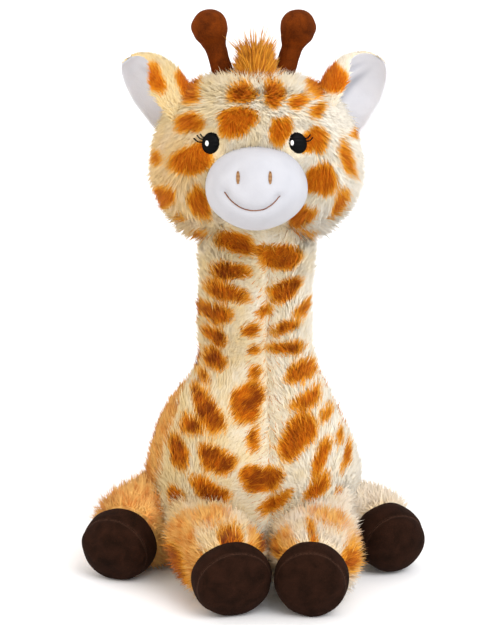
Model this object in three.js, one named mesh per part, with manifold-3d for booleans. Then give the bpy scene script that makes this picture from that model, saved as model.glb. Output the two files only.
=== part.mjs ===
// A seated plush giraffe: a pear-shaped torso on a weighted seat, a long neck, a broad head with a
// white muzzle, cupped ears and velour ossicones, four splayed legs with velour hooves, and a tail.
// Every soft piece is a cloth skin round a separate filling, and each limb is sewn on at its root.
// Millimetres, +Z up, facing -Y, with the origin in the middle of the flat seat.
// Left is the toy's own left, at +X.
import * as THREE from "three";
import { mergeVertices } from "three/addons/utils/BufferGeometryUtils.js";
import Module from "manifold-3d";

const wasm = await Module();
wasm.setup();

// Driving dimensions

const seamGap = 0.3; // between pieces that are sewn or stuffed together
const overrun = 40; // how far a cutter reaches past what it cuts
const floorFlat = 0.5; // how far a hoof is pressed flat by its own weight

// Each cloth with its pile pressed down.
const cloth = { fur: 6, earFur: 3.6, velour: 2, minky: 2.5, lining: 1.6 };

const torso = {
  halfWidth: 74,
  halfDepth: 66,
  seatHalfWidth: 50,
  seatHalfDepth: 45,
  widestHeight: 46,
  height: 135, // from the seat to the narrowing where the neck begins
};

const neck = {
  halfWidth: 39.5,
  halfDepth: 38,
  length: 96, // from the torso to the underside of the head
  saddleHeight: 60, // of the point that the neck leans about
  saddleCrown: 5, // how far the torso's domed top stands above its height
  saddleClearance: 0.8,
};

const head = {
  halfWidth: 71,
  halfDepth: 57,
  height: 108,
  turned: -4.5, // degrees at rest, towards the toy's own right
  socketHeight: 20, // how far the neck's domed top stands inside the head
  socketRadius: 55,
  socketClearance: 0.7, // over the dome
  collarClearance: 1.6, // round the neck
};

const muzzle = { halfWidth: 32, halfHeight: 26.8, reach: 36, drop: 17, setBack: 8 };

const eye = { halfWidth: 5.8, halfHeight: 7.2, bulge: 3.2, spacing: 56, rise: 12, tilt: 9 };

const ear = {
  length: 57,
  radius: 24,
  rootAcross: 53,
  rootRise: 17,
  upright: 52, // degrees above the horizontal
  fold: 12, // degrees each way
  twist: { left: 22, right: 38 }, // degrees that each cup is turned outwards from the front
};

const ossicone = {
  stemRadius: 7.4,
  knobRadius: 11.3,
  length: 42, // from the head's crown to the top of the knob
  spacing: 40,
  setBack: 4,
  splay: 16.5, // degrees outwards
  bend: 10, // degrees each way
};

const mane = { halfWidth: 8, height: 13, forelockHeight: 27, forelockHalfWidth: 13 };

const hoof = { radius: 25.3, seamRadius: 22.6, soleBulge: 7 };

const leg = {
  furOverhang: 4.5, // how far the fur stands out past the hoof that it meets
  rootHalfWidth: 21,
  rootHalfHeight: 17,
  lift: 12, // degrees, up from where it lies
  neighbourClearance: 1.5, // round a front leg, in the hind leg that presses against it
};

const frontLeg = { length: 89, rootHeight: 47, hoofSpacing: 2.2, bandLength: 15 };

const hindLeg = {
  length: 72,
  rootHeight: 40,
  splay: 38, // degrees from straight ahead
  bandLength: 19,
};

const tail = {
  radius: 5.5,
  rootHeight: 46,
  reach: 40, // behind the torso, to the start of the tuft
  tuftLength: 26,
  tuftRadius: 8,
  lift: 50, // degrees, up from where it lies
};

const beanBag = { halfWidth: 42, halfDepth: 37, height: 22 };

// Shares of the sizes above, chosen by eye

// Upper torso: how far up from its widest, how full it still is, from the neck's width to the torso's.
const torsoFullShares = [
  [0, 1], [0.17, 1], [0.33, 0.94], [0.52, 0.76], [0.75, 0.48], [0.875, 0.27], [1, 0.11], [1.16, 0.02],
];
// The neck: how far up from the torso, and its thickness.
const neckThickShares = [[0.32, 1], [0.62, 0.985], [0.9, 1.01], [1.3, 1.02]];
// The head: latitude in quarter turns from its middle, and how wide it is there against a plain oval.
const headWideShares = [[-1, 1.2], [-0.6, 1.12], [-0.25, 1.06], [0, 1], [0.35, 0.98], [1, 1]];
const headSquareShare = 0.84; // below 1, the head's outline is squarer than an oval
// A leg: how far along it, how far it has grown from its root's size to its full one.
const legFullShares = [[0, 0], [0.14, 0.2], [0.3, 0.62], [0.48, 0.94], [0.66, 1], [0.86, 1]];
const legEndShare = 0.86; // of a leg's length, where the hoof's band takes over
const legTuckShare = 0.9; // how thick the fur is at that edge
// A hoof's band: how far along it, and how wide between the seam's radius and the hoof's own.
const bandWideShares = [[0, 0.66], [0.22, 0.97], [0.5, 1], [0.8, 0.66], [1, 0]];
// A sole: how far out along its bulge, and how wide against the seam.
const soleWideShares = [[0, 1], [0.4, 0.9], [0.72, 0.68], [0.93, 0.36], [1, 0]];
const frontRootShare = { across: 0.57, forward: 0.56 }; // of the torso's half width and half depth
const hindRootShare = { across: 0.66, forward: -0.2 };
// An ear: how far along it, and how wide its cup is.
const earWideShares = [[-0.3, 0.6], [0, 0.72], [0.22, 0.93], [0.48, 1], [0.72, 0.86], [0.9, 0.58], [1, 0.34]];
const earThinShare = 0.5; // how thick the cloth still is at the ear's tip
const earOpen = { upper: 128, lower: 66 }; // degrees of arc either side of the ear's back
// An ossicone: how far along it, and how thick from the stem's radius to the knob's.
const ossiconeKnobShares = [
  [-0.35, 0.1], [0, 0], [0.4, 0], [0.56, 0.42], [0.7, 0.94], [0.82, 0.96], [0.93, 0.4],
];
const ossiconeTipShare = 0.975;
const ossiconeCapShare = 0.42; // how wide the knob still is there, against its radius
// The head's mane: latitude in quarter turns over the crown from the front, its height and its half width.
const headManeShares = [
  [0.76, 0.2, 1], [0.86, 0.85, 1], [0.95, 1, 1], [1.08, 0.8, 0.9],
  [1.3, 0.58, 0.75], [1.62, 0.52, 0.72], [1.95, 0.44, 0.66], [2.2, 0.2, 0.5],
];
// The neck's mane: how far up the neck, its height and its half width.
const neckManeShares = [[0.1, 0.3, 0.6], [0.24, 0.85, 1], [0.5, 1, 1], [0.74, 1, 1], [0.84, 0.5, 0.8]];
const tailThickShares = [[-0.2, 0.9], [0.1, 1], [0.5, 0.92], [1, 0.85]];
const tuftThickShares = [[0, 0.5], [0.25, 0.94], [0.55, 1], [0.85, 0.6], [1, 0.2]];

// Materials

const fabrics = {
  fur: new THREE.MeshStandardMaterial({ color: "#e8cf9f", roughness: 0.95 }),
  mane: new THREE.MeshStandardMaterial({ color: "#c9781f", roughness: 0.95 }),
  muzzle: new THREE.MeshStandardMaterial({ color: "#eceaea", roughness: 0.85 }),
  earLining: new THREE.MeshStandardMaterial({ color: "#e9e7ea", roughness: 0.85 }),
  ossicone: new THREE.MeshStandardMaterial({ color: "#6b3412", roughness: 0.8 }),
  hoof: new THREE.MeshStandardMaterial({ color: "#34211a", roughness: 0.8 }),
  eye: new THREE.MeshStandardMaterial({ color: "#0d0c0e", roughness: 0.5 }),
  filling: new THREE.MeshStandardMaterial({ color: "#f6f5f1", roughness: 1 }),
  beans: new THREE.MeshStandardMaterial({ color: "#d8d6cf", roughness: 0.9 }),
};

// Solid helpers

const radians = THREE.MathUtils.degToRad;
const mix = THREE.MathUtils.lerp;

function solidOf(geometry) {
  const bare = new THREE.BufferGeometry().setAttribute("position", geometry.getAttribute("position").clone());
  if (geometry.index) bare.setIndex(geometry.index.clone());
  const merged = mergeVertices(bare);
  const vertProperties = merged.getAttribute("position").array;
  const triVerts = new Uint32Array(merged.index.array);
  return new wasm.Manifold(new wasm.Mesh({ numProp: 3, vertProperties, triVerts }));
}

function geometryOf(solid) {
  const { vertProperties, numProp, triVerts } = solid.getMesh();
  const places = new Float32Array((vertProperties.length / numProp) * 3);
  for (let i = 0; i < places.length / 3; i++) {
    places.set(vertProperties.subarray(i * numProp, i * numProp + 3), i * 3);
  }
  const geometry = new THREE.BufferGeometry().setAttribute("position", new THREE.BufferAttribute(places, 3));
  geometry.setIndex(new THREE.BufferAttribute(triVerts, 1));
  geometry.computeVertexNormals();
  return geometry;
}

function cut(geometry, ...cutters) {
  return geometryOf(cutters.reduce((solid, cutter) => solid.subtract(solidOf(cutter)), solidOf(geometry)));
}

function common(a, b) {
  return geometryOf(solidOf(a).intersect(solidOf(b)));
}

function joined(a, b) {
  return geometryOf(solidOf(a).add(solidOf(b)));
}

// Rows of shares as a smooth curve, read at even steps.
function smoothRows(rows, steps) {
  const points = rows.map((row) => new THREE.Vector3(...row));
  return new THREE.CatmullRomCurve3(points, false, "centripetal").getPoints(steps);
}

// A closed solid through rings of points, all with as many, that turn left seen from the last ring's end.
function ringForm(rings) {
  const sides = rings[0].length;
  const middleOf = (ring) => ring.reduce((sum, p) => sum.add(p), new THREE.Vector3()).divideScalar(sides);
  const points = [...rings.flat(), middleOf(rings[0]), middleOf(rings.at(-1))];
  const first = points.length - 2;
  const faces = [];
  for (let side = 0; side < sides; side++) {
    const next = (side + 1) % sides;
    for (let ring = 0; ring < rings.length - 1; ring++) {
      const low = ring * sides;
      const high = low + sides;
      faces.push(low + side, low + next, high + next, low + side, high + next, high + side);
    }
    const top = (rings.length - 1) * sides;
    faces.push(first, next, side, first + 1, top + side, top + next);
  }
  const geometry = new THREE.BufferGeometry().setFromPoints(points);
  return geometry.setIndex(faces);
}

// Oval rings stacked along +Z. A row is its height, half width (x), half depth (y) and middle (y).
function ovalForm(rows, sides) {
  return ringForm(
    rows.map(({ height, halfWidth, halfDepth, middle = 0 }) =>
      Array.from({ length: sides }, (_, side) => {
        const turn = (2 * Math.PI * side) / sides;
        return new THREE.Vector3(halfWidth * Math.cos(turn), middle + halfDepth * Math.sin(turn), height);
      }),
    ),
  );
}

// A curved sheet of cloth: two grids of points, the outer face and the inner one, stitched round the edge.
function sheetForm(outer, inner) {
  const rows = outer.length;
  const columns = outer[0].length;
  const points = [...outer.flat(), ...inner.flat()];
  const at = (face, row, column) => face * rows * columns + row * columns + column;
  const faces = [];
  const quad = (a, b, c, d) => faces.push(a, b, c, a, c, d);
  for (let row = 0; row < rows - 1; row++) {
    for (let column = 0; column < columns - 1; column++) {
      quad(at(0, row, column), at(0, row, column + 1), at(0, row + 1, column + 1), at(0, row + 1, column));
      quad(at(1, row, column), at(1, row + 1, column), at(1, row + 1, column + 1), at(1, row, column + 1));
    }
    quad(at(0, row, 0), at(0, row + 1, 0), at(1, row + 1, 0), at(1, row, 0));
    const last = columns - 1;
    quad(at(0, row, last), at(1, row, last), at(1, row + 1, last), at(0, row + 1, last));
  }
  for (let column = 0; column < columns - 1; column++) {
    const top = rows - 1;
    quad(at(0, 0, column), at(1, 0, column), at(1, 0, column + 1), at(0, 0, column + 1));
    quad(at(0, top, column), at(0, top, column + 1), at(1, top, column + 1), at(1, top, column));
  }
  return new THREE.BufferGeometry().setFromPoints(points).setIndex(faces);
}

// A form turned about +Z from a closed outline of [radius, height].
function turnedForm(outline, sides) {
  const profile = outline.map(([radius, height]) => new THREE.Vector2(radius, height));
  return new THREE.LatheGeometry(profile, sides).rotateX(Math.PI / 2);
}

// Everything under a dome whose crown is on the Z axis. floor and reach say how low and how wide it is.
function domeForm({ pivotHeight, radius, edgeRadius, floor, reach }, sides) {
  const edge = Math.asin(Math.min(1, edgeRadius / radius));
  const steps = 6;
  const outline = [[0, floor], [reach, floor]];
  const edgeHeight = pivotHeight + radius * Math.cos(edge);
  if (reach > edgeRadius) outline.push([reach, edgeHeight]);
  for (let step = steps; step > 0; step--) {
    const lean = (edge * step) / steps;
    outline.push([radius * Math.sin(lean), pivotHeight + radius * Math.cos(lean)]);
  }
  outline.push([0, pivotHeight + radius]);
  return turnedForm(outline, sides);
}

// A copy of a geometry turned about a line by some degrees.
function swung(geometry, pivot, axis, degrees) {
  return geometry
    .clone()
    .translate(-pivot.x, -pivot.y, -pivot.z)
    .applyMatrix4(new THREE.Matrix4().makeRotationAxis(axis, radians(degrees)))
    .translate(pivot.x, pivot.y, pivot.z);
}

// What its carrier would sweep from a piece that swings, so that the piece's root is pinched in at its seam.
function sweepOf(carrier, pivot, axis, ...angles) {
  return [carrier, ...angles.map((angle) => swung(carrier, pivot, axis, -angle))];
}

function piece(name, geometry, material) {
  const mesh = new THREE.Mesh(geometry, material);
  mesh.name = name;
  return mesh;
}

// Torso and neck share one outline, because their front and back panels run from the seat to the head

function bodyForm(inset, sides) {
  const rows = [];
  const seatSteps = 5;
  for (let step = 0; step <= seatSteps; step++) {
    const turn = (Math.PI / 2) * (step / seatSteps);
    rows.push({
      height: inset + (torso.widestHeight - inset) * (1 - Math.cos(turn)),
      halfWidth: mix(torso.seatHalfWidth, torso.halfWidth, Math.sin(turn)) - inset,
      halfDepth: mix(torso.seatHalfDepth, torso.halfDepth, Math.sin(turn)) - inset,
    });
  }
  const rise = torso.height - torso.widestHeight;
  for (const [up, full] of torsoFullShares.slice(1)) {
    rows.push({
      height: torso.widestHeight + rise * up,
      halfWidth: mix(neck.halfWidth, torso.halfWidth, full) - inset,
      halfDepth: mix(neck.halfDepth, torso.halfDepth, full) - inset,
    });
  }
  for (const [up, thick] of neckThickShares) {
    rows.push({
      height: torso.height + neck.length * up,
      halfWidth: neck.halfWidth * thick - inset,
      halfDepth: neck.halfDepth * thick - inset,
    });
  }
  return ovalForm(rows, sides);
}

const bodySides = 20;
const domeSides = 24;
const saddleRadius = torso.height + neck.saddleCrown - neck.saddleHeight;
const saddleEdgeShare = 0.76; // of the saddle's radius, where the neck's edge can never reach

// The dome that the torso ends in, which the neck leans over.
function saddleForm(offset) {
  const radius = saddleRadius + offset;
  return domeForm(
    {
      pivotHeight: neck.saddleHeight,
      radius,
      edgeRadius: radius * saddleEdgeShare,
      floor: -overrun,
      reach: torso.halfWidth + overrun,
    },
    domeSides,
  );
}

const headBase = torso.height + neck.length;
const headMiddle = headBase + head.height / 2;

// The dome that the neck ends in, which the head turns on. Its height is counted from the middle of the head.
function plugForm(offset, wide) {
  const crown = headBase - headMiddle + head.socketHeight;
  return domeForm(
    {
      pivotHeight: crown - head.socketRadius,
      radius: head.socketRadius + offset,
      edgeRadius: wide,
      floor: -head.height - neck.length,
      reach: wide,
    },
    domeSides,
  );
}

function beanBagForm(offset) {
  const rim = beanBag.height / 2;
  const bulge = 5;
  const rows = [];
  for (let step = 0; step <= bulge; step++) {
    const turn = Math.PI * (step / bulge - 0.5);
    rows.push({
      height: cloth.fur + seamGap + rim + (rim + offset) * Math.sin(turn),
      halfWidth: offset + beanBag.halfWidth - rim * (1 - Math.cos(turn)),
      halfDepth: offset + beanBag.halfDepth - rim * (1 - Math.cos(turn)),
    });
  }
  return ovalForm(rows, bodySides);
}

function makeTorso() {
  const group = new THREE.Group();
  const whole = bodyForm(0, bodySides);
  const hollow = bodyForm(cloth.fur, bodySides);
  const stuffed = bodyForm(cloth.fur + seamGap, bodySides);
  group.add(
    piece("torso_skin", cut(common(whole, saddleForm(0)), hollow), fabrics.fur),
    piece("torso_filling", cut(common(stuffed, saddleForm(0)), beanBagForm(seamGap)), fabrics.filling),
    piece("bean_bag", beanBagForm(0), fabrics.beans),
  );
  return group;
}

function neckManeForm() {
  const steps = 10;
  const sides = 8;
  const rings = smoothRows(neckManeShares, steps).map(({ x: up, y: tall, z: wide }) =>
    Array.from({ length: sides }, (_, side) => {
      const turn = (2 * Math.PI * side) / sides;
      return new THREE.Vector3(
        mane.halfWidth * wide * Math.cos(turn),
        neck.halfDepth + mane.height * tall * Math.sin(turn),
        torso.height + neck.length * up,
      );
    }),
  );
  return cut(ringForm(rings), bodyForm(-seamGap, bodySides));
}

function makeNeck() {
  const group = new THREE.Group();
  const plug = plugForm(0, neck.halfWidth + overrun / 2).translate(0, 0, headMiddle);
  const above = (inset) => cut(common(bodyForm(inset, bodySides), plug), saddleForm(neck.saddleClearance));
  const skin = cut(above(0), bodyForm(cloth.fur, bodySides));
  group.add(
    piece("neck_skin", skin, fabrics.fur),
    piece("neck_filling", above(cloth.fur + seamGap), fabrics.filling),
    piece("neck_mane", neckManeForm(), fabrics.mane),
  );
  return group;
}

// Head, in its own frame: the origin in its middle, facing -Y

// A point of the head's surface. Latitude is in quarter turns up from the middle, turn in degrees from +X.
function headPoint(latitude, turn, offset = 0) {
  const wide = smoothShare(headWideShares, latitude);
  const lean = (Math.PI / 2) * latitude;
  const round = (value, power) => Math.sign(value) * Math.abs(value) ** power;
  const level = Math.max(0, Math.cos(lean)) ** headSquareShare;
  const squared = (1 + headSquareShare) / 2;
  return new THREE.Vector3(
    (head.halfWidth * wide + offset) * level * round(Math.cos(radians(turn)), squared),
    (head.halfDepth + offset) * level * round(Math.sin(radians(turn)), squared),
    (head.height / 2 + offset) * round(Math.sin(lean), headSquareShare),
  );
}

// The share that a table of [place, share] gives at a place, in straight steps.
function smoothShare(table, place) {
  const next = Math.max(1, table.findIndex(([at]) => at >= place));
  const [[low, from], [high, to]] = [table[next - 1], table[next]];
  return mix(from, to, (place - low) / (high - low));
}

function headForm(offset, sides = 22, rows = 12) {
  const poleShare = 0.985; // of a quarter turn, where the last rings close over the crown and the chin
  const rings = Array.from({ length: rows + 1 }, (_, row) => {
    const latitude = poleShare * ((2 * row) / rows - 1);
    return Array.from({ length: sides }, (_, side) => headPoint(latitude, (360 * side) / sides, offset));
  });
  return ringForm(rings);
}

// How far the head's surface reaches at a height above its middle, against its reach there at most.
function headLevel(rise) {
  const tall = Math.min(1, (2 * Math.abs(rise)) / head.height) ** (2 / headSquareShare);
  return (1 - tall) ** (headSquareShare / 2);
}

// How far out a point lies from the head's axis, where 1 is on the surface at that height.
function headFlatness({ x, y, z }) {
  const power = 4 / (1 + headSquareShare);
  const high = Math.min(1, (2 * Math.abs(z)) / head.height) ** (1 / headSquareShare);
  const latitude = (2 / Math.PI) * Math.asin(Math.sign(z) * high);
  const wide = head.halfWidth * smoothShare(headWideShares, latitude);
  const flat = (Math.abs(x) / wide) ** power + (Math.abs(y) / head.halfDepth) ** power;
  return flat ** (1 / power) / Math.max(headLevel(z), Number.EPSILON);
}

// Where a line that starts inside a form comes out of it.
function wayOut(from, along, reach, flatness) {
  let [inside, outside] = [0, reach];
  for (let halving = 0; halving < 30; halving++) {
    const middle = (inside + outside) / 2;
    if (flatness(from.clone().addScaledVector(along, middle)) < 1) inside = middle;
    else outside = middle;
  }
  return from.clone().addScaledVector(along, inside);
}

function muzzleForm(offset) {
  const sides = 20;
  const rows = 8;
  const form = ovalForm(
    Array.from({ length: rows + 1 }, (_, row) => {
      const lean = (Math.PI / 2) * mix(-1, 1, (row + 0.15) / (rows + 0.3));
      const full = Math.cos(lean) ** 0.9;
      return {
        height: (muzzle.reach + offset) * Math.sin(lean),
        halfWidth: (muzzle.halfWidth + offset) * full,
        halfDepth: (muzzle.halfHeight + offset) * full,
      };
    }),
    sides,
  );
  const forward = head.halfDepth - muzzle.setBack;
  return form.rotateX(Math.PI / 2).translate(0, -forward, -muzzle.drop);
}

function eyeForm(side) {
  const ball = new THREE.SphereGeometry(1, 14, 8);
  ball.scale(eye.halfWidth, eye.bulge, eye.halfHeight);
  ball.rotateY(radians(side * eye.tilt));
  const across = eye.spacing / 2;
  const along = Math.sqrt(head.halfWidth ** 2 - across ** 2);
  const slope = Math.atan2(across * head.halfDepth, head.halfWidth * along);
  const middle = new THREE.Vector3(side * across, 0, eye.rise);
  const place = wayOut(middle, new THREE.Vector3(0, -1, 0), head.halfDepth, headFlatness);
  ball.rotateZ(side * slope);
  ball.translate(place.x, place.y, place.z);
  return cut(ball, headForm(seamGap));
}

function headManeForm() {
  const steps = 18;
  const sides = 8;
  const rings = smoothRows(headManeShares, steps).map(({ x: latitude, y: tall, z: wide }) => {
    const foot = latitude <= 1 ? headPoint(latitude, -90) : headPoint(2 - latitude, 90);
    const lean = (Math.PI / 2) * latitude;
    const out = new THREE.Vector3(0, -Math.cos(lean), Math.sin(lean));
    return Array.from({ length: sides }, (_, side) => {
      const turn = (2 * Math.PI * side) / sides;
      return foot
        .clone()
        .addScaledVector(out, mane.forelockHeight * tall * Math.sin(turn))
        .add(new THREE.Vector3(mane.forelockHalfWidth * wide * Math.cos(turn), 0, 0));
    });
  });
  return cut(ringForm(rings.map((ring) => ring.reverse())), headForm(seamGap));
}

function makeHead() {
  const group = new THREE.Group();
  const socket = plugForm(head.socketClearance, neck.halfWidth + head.collarClearance);
  const hollow = joined(headForm(-cloth.fur), muzzleForm(-cloth.minky));
  const stuffed = joined(headForm(-cloth.fur - seamGap), muzzleForm(-cloth.minky - seamGap));
  group.add(
    piece("head_skin", cut(headForm(0), hollow, socket), fabrics.fur),
    piece("head_filling", cut(stuffed, socket), fabrics.filling),
    piece("muzzle_skin", cut(muzzleForm(0), headForm(seamGap), muzzleForm(-cloth.minky)), fabrics.muzzle),
    piece("eye_left", eyeForm(1), fabrics.eye),
    piece("eye_right", eyeForm(-1), fabrics.eye),
    piece("head_mane", headManeForm(), fabrics.mane),
  );
  return group;
}

// Ears: a cup of cloth that opens forwards and outwards, pinched where it is sewn into the head

function earFrame(twist) {
  const along = new THREE.Vector3(Math.cos(radians(ear.upright)), 0, Math.sin(radians(ear.upright)));
  const level = new THREE.Vector3(along.z, 0, -along.x); // square to the ear, down and outwards
  const front = new THREE.Vector3(0, -1, 0);
  const open = front
    .clone()
    .multiplyScalar(Math.cos(radians(twist)))
    .addScaledVector(level, Math.sin(radians(twist)));
  const across = new THREE.Vector3().crossVectors(open, along);
  const root = new THREE.Vector3(ear.rootAcross, 0, ear.rootRise);
  return { along, open, across, root };
}

// One face of an ear's cloth, as rows of points. inset is counted from its furry outside.
function earFace(frame, inset) {
  const rows = 8;
  const columns = 10;
  const widths = smoothRows(earWideShares.map(([up, wide]) => [up, wide, 0]), rows);
  return widths.map(({ x: up, y: wide }) =>
    Array.from({ length: columns + 1 }, (_, column) => {
      const turn = radians(mix(-earOpen.lower, earOpen.upper, column / columns));
      const full = ear.radius * wide;
      const thin = mix(1, earThinShare, Math.max(0, up));
      const radius = full - inset * thin;
      return frame.root
        .clone()
        .addScaledVector(frame.along, ear.length * up)
        .addScaledVector(frame.across, radius * Math.sin(turn))
        .addScaledVector(frame.open, -radius * Math.cos(turn));
    }),
  );
}

function makeEar(side) {
  const name = side > 0 ? "left" : "right";
  const frame = earFrame(ear.twist[name]);
  const hinge = wayOut(frame.root, frame.along, ear.length, headFlatness);
  const sweep = sweepOf(headForm(seamGap), hinge, frame.across, ear.fold, -ear.fold);
  const layer = (from, to) => cut(sheetForm(earFace(frame, from), earFace(frame, to)), ...sweep);
  const backed = cloth.earFur + seamGap;
  const group = new THREE.Group();
  group.scale.x = side;
  group.add(
    piece(`ear_${name}_fur`, layer(0, cloth.earFur), fabrics.fur),
    piece(`ear_${name}_lining`, layer(backed, backed + cloth.lining), fabrics.earLining),
  );
  return group;
}

// Ossicones: velour stems with a round knob, each stuffed and sewn into the crown

function ossiconeForm(inset, sides) {
  const swell = smoothRows(ossiconeKnobShares.map(([up, full]) => [up, full, 0]), 9);
  const outline = swell.map(({ x: up, y: full }) => [
    mix(ossicone.stemRadius, ossicone.knobRadius, full) - inset,
    ossicone.length * up,
  ]);
  const top = ossicone.length - inset;
  const capRadius = ossicone.knobRadius * ossiconeCapShare - inset / 2;
  outline.push([capRadius, mix(outline.at(-1)[1], top, ossiconeTipShare)]);
  return turnedForm([[0, outline[0][1]], ...outline, [0, top]], sides);
}

function makeOssicone(side) {
  const name = side > 0 ? "left" : "right";
  const sides = 12;
  const below = new THREE.Vector3(ossicone.spacing / 2, ossicone.setBack, 0);
  const foot = wayOut(below, new THREE.Vector3(0, 0, 1), head.height / 2, headFlatness);
  const bendAxis = new THREE.Vector3(1, 0, 0);
  const sweep = sweepOf(headForm(seamGap), foot, bendAxis, ossicone.bend, -ossicone.bend);
  const placed = (inset) =>
    ossiconeForm(inset, sides).rotateY(radians(ossicone.splay)).translate(foot.x, foot.y, foot.z);
  const group = new THREE.Group();
  group.scale.x = side;
  group.add(
    piece(`ossicone_${name}_skin`, cut(placed(0), placed(cloth.velour), ...sweep), fabrics.ossicone),
    piece(`ossicone_${name}_filling`, cut(placed(cloth.velour + seamGap), ...sweep), fabrics.filling),
  );
  return group;
}

// Legs: a pinched root at the torso, a full furry leg, and a velour hoof with a round sole

function legPlace({ length, rootHeight, root, aim }) {
  const from = new THREE.Vector3(torso.halfWidth * root.across, -torso.halfDepth * root.forward, rootHeight);
  const hoofHeight = hoof.radius - floorFlat;
  const level = Math.sqrt(length ** 2 - (rootHeight - hoofHeight) ** 2);
  const to = new THREE.Vector3(from.x + level * Math.sin(aim), from.y - level * Math.cos(aim), hoofHeight);
  const along = to.clone().sub(from).normalize();
  const across = new THREE.Vector3(0, 0, 1).cross(along).normalize();
  const up = along.clone().cross(across);
  const basis = new THREE.Matrix4().makeBasis(across, up, along).setPosition(from);
  const hinge = wayOut(from, along, torso.halfWidth, bodyFlatness);
  return { from, along, lift: across.clone().negate(), hinge, basis };
}

const legHalf = hoof.radius + leg.furOverhang;
const legSides = 14;

function legForm(length, inset, beyond = 0) {
  const end = length * legEndShare + beyond;
  const swell = smoothRows(legFullShares.map(([out, full]) => [out, full, 0]), 9);
  const rows = swell.map(({ x: out, y: full }) => ({
    height: length * out,
    halfWidth: mix(leg.rootHalfWidth, legHalf, full) - inset,
    halfDepth: mix(leg.rootHalfHeight, legHalf, full) - inset,
  }));
  const edge = legHalf * legTuckShare - inset;
  rows.pop();
  rows.push({ height: end, halfWidth: edge, halfDepth: edge });
  rows.unshift({ ...rows[0], height: -overrun / 2 });
  return ovalForm(rows, legSides);
}

// A hoof's band or sole as an outline from its table, inset by the cloth.
function bandOutline(start, bandLength, inset) {
  return bandWideShares.map(([out, wide]) => [
    mix(hoof.seamRadius, hoof.radius, wide) - inset,
    start + bandLength * out,
  ]);
}

function soleOutline(start, inset) {
  return soleWideShares.map(([out, wide]) => [
    Math.max(0, hoof.seamRadius * wide - inset),
    start + (hoof.soleBulge - inset) * out,
  ]);
}

function floorForm() {
  const wide = 2 * (hindLeg.length + frontLeg.length + torso.halfWidth);
  return new THREE.BoxGeometry(wide, wide, overrun).translate(0, 0, -overrun / 2);
}

function legPieces(place, { length, bandLength }, neighbour) {
  const bandStart = length * legEndShare + seamGap;
  const soleStart = bandStart + bandLength + seamGap;
  const placed = (geometry) => geometry.applyMatrix4(place.basis);
  const pinch = sweepOf(bodyForm(-seamGap, bodySides), place.hinge, place.lift, leg.lift);
  const trims = [...pinch, ...neighbour, floorForm()];

  const hollow = placed(legForm(length, cloth.fur, seamGap));
  const skin = cut(placed(legForm(length, 0)), hollow, ...trims);

  const bandOuter = bandOutline(bandStart, bandLength, 0);
  const bandInner = bandOutline(bandStart, bandLength, cloth.velour).reverse();
  const band = cut(placed(turnedForm([...bandOuter, ...bandInner, bandOuter[0]], legSides)), floorForm());

  const soleOuter = soleOutline(soleStart, 0);
  const soleInner = soleOutline(soleStart, cloth.velour).reverse();
  const sole = cut(placed(turnedForm([...soleOuter, ...soleInner, soleOuter[0]], legSides)), floorForm());

  const thin = cloth.velour + seamGap;
  const inside = [...bandOutline(bandStart, bandLength, thin), ...soleOutline(soleStart, thin)];
  const hoofFill = placed(turnedForm([[0, bandStart], ...inside], legSides));
  const legFill = placed(legForm(length, cloth.fur + seamGap, 2 * seamGap));
  const filling = cut(joined(legFill, hoofFill), ...trims);
  return { skin, filling, band, sole };
}

// How far out a point lies from the torso's axis, where 1 is on the surface at its widest.
function bodyFlatness({ x, y }) {
  return Math.hypot(x / torso.halfWidth, y / torso.halfDepth);
}

const frontSpread = hoof.radius + frontLeg.hoofSpacing / 2;
const frontRootAcross = torso.halfWidth * frontRootShare.across;
const frontPlace = legPlace({
  ...frontLeg,
  root: frontRootShare,
  aim: -Math.asin((frontRootAcross - frontSpread) / frontLeg.length),
});
const hindPlace = legPlace({ ...hindLeg, root: hindRootShare, aim: radians(hindLeg.splay) });

function makeLegs() {
  const group = new THREE.Group();
  const frontSpace = legForm(frontLeg.length, -leg.neighbourClearance).applyMatrix4(frontPlace.basis);
  const bothLifts = [[0, 0], [0, 1], [1, 0], [1, 1]];
  const frontSweep = bothLifts.map(([front, hind]) => {
    const lifted = swung(frontSpace, frontPlace.hinge, frontPlace.lift, front * leg.lift);
    return swung(lifted, hindPlace.hinge, hindPlace.lift, -hind * leg.lift);
  });
  const pairs = {
    front: legPieces(frontPlace, frontLeg, []),
    hind: legPieces(hindPlace, hindLeg, frontSweep),
  };
  for (const [pair, parts] of Object.entries(pairs)) {
    for (const [name, side] of [["left", 1], ["right", -1]]) {
      const limb = new THREE.Group();
      limb.scale.x = side;
      limb.add(
        piece(`${pair}_leg_${name}_skin`, parts.skin, fabrics.fur),
        piece(`${pair}_leg_${name}_filling`, parts.filling, fabrics.filling),
        piece(`${pair}_hoof_${name}_band`, parts.band, fabrics.hoof),
        piece(`${pair}_hoof_${name}_sole`, parts.sole, fabrics.hoof),
      );
      group.add(limb);
    }
  }
  return group;
}

// Tail: a thin tube from the back of the torso down to the floor, with a tuft lying behind it

function tubeForm(curve, thickShares, radius, sides, steps) {
  const swell = smoothRows(thickShares.map(([out, thick]) => [out, thick, 0]), steps);
  const rings = swell.map(({ x: out, y: thick }) => {
    const at = curve.getPoint(Math.min(1, Math.max(0, out)));
    const along = curve.getTangent(Math.min(1, Math.max(0, out)));
    at.addScaledVector(along, out < 0 ? out * curve.getLength() : 0);
    const across = new THREE.Vector3(1, 0, 0);
    const up = along.clone().cross(across);
    return Array.from({ length: sides }, (_, side) => {
      const turn = (2 * Math.PI * side) / sides;
      return at
        .clone()
        .addScaledVector(across, radius * thick * Math.cos(turn))
        .addScaledVector(up, radius * thick * Math.sin(turn));
    });
  });
  return ringForm(rings);
}

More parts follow.
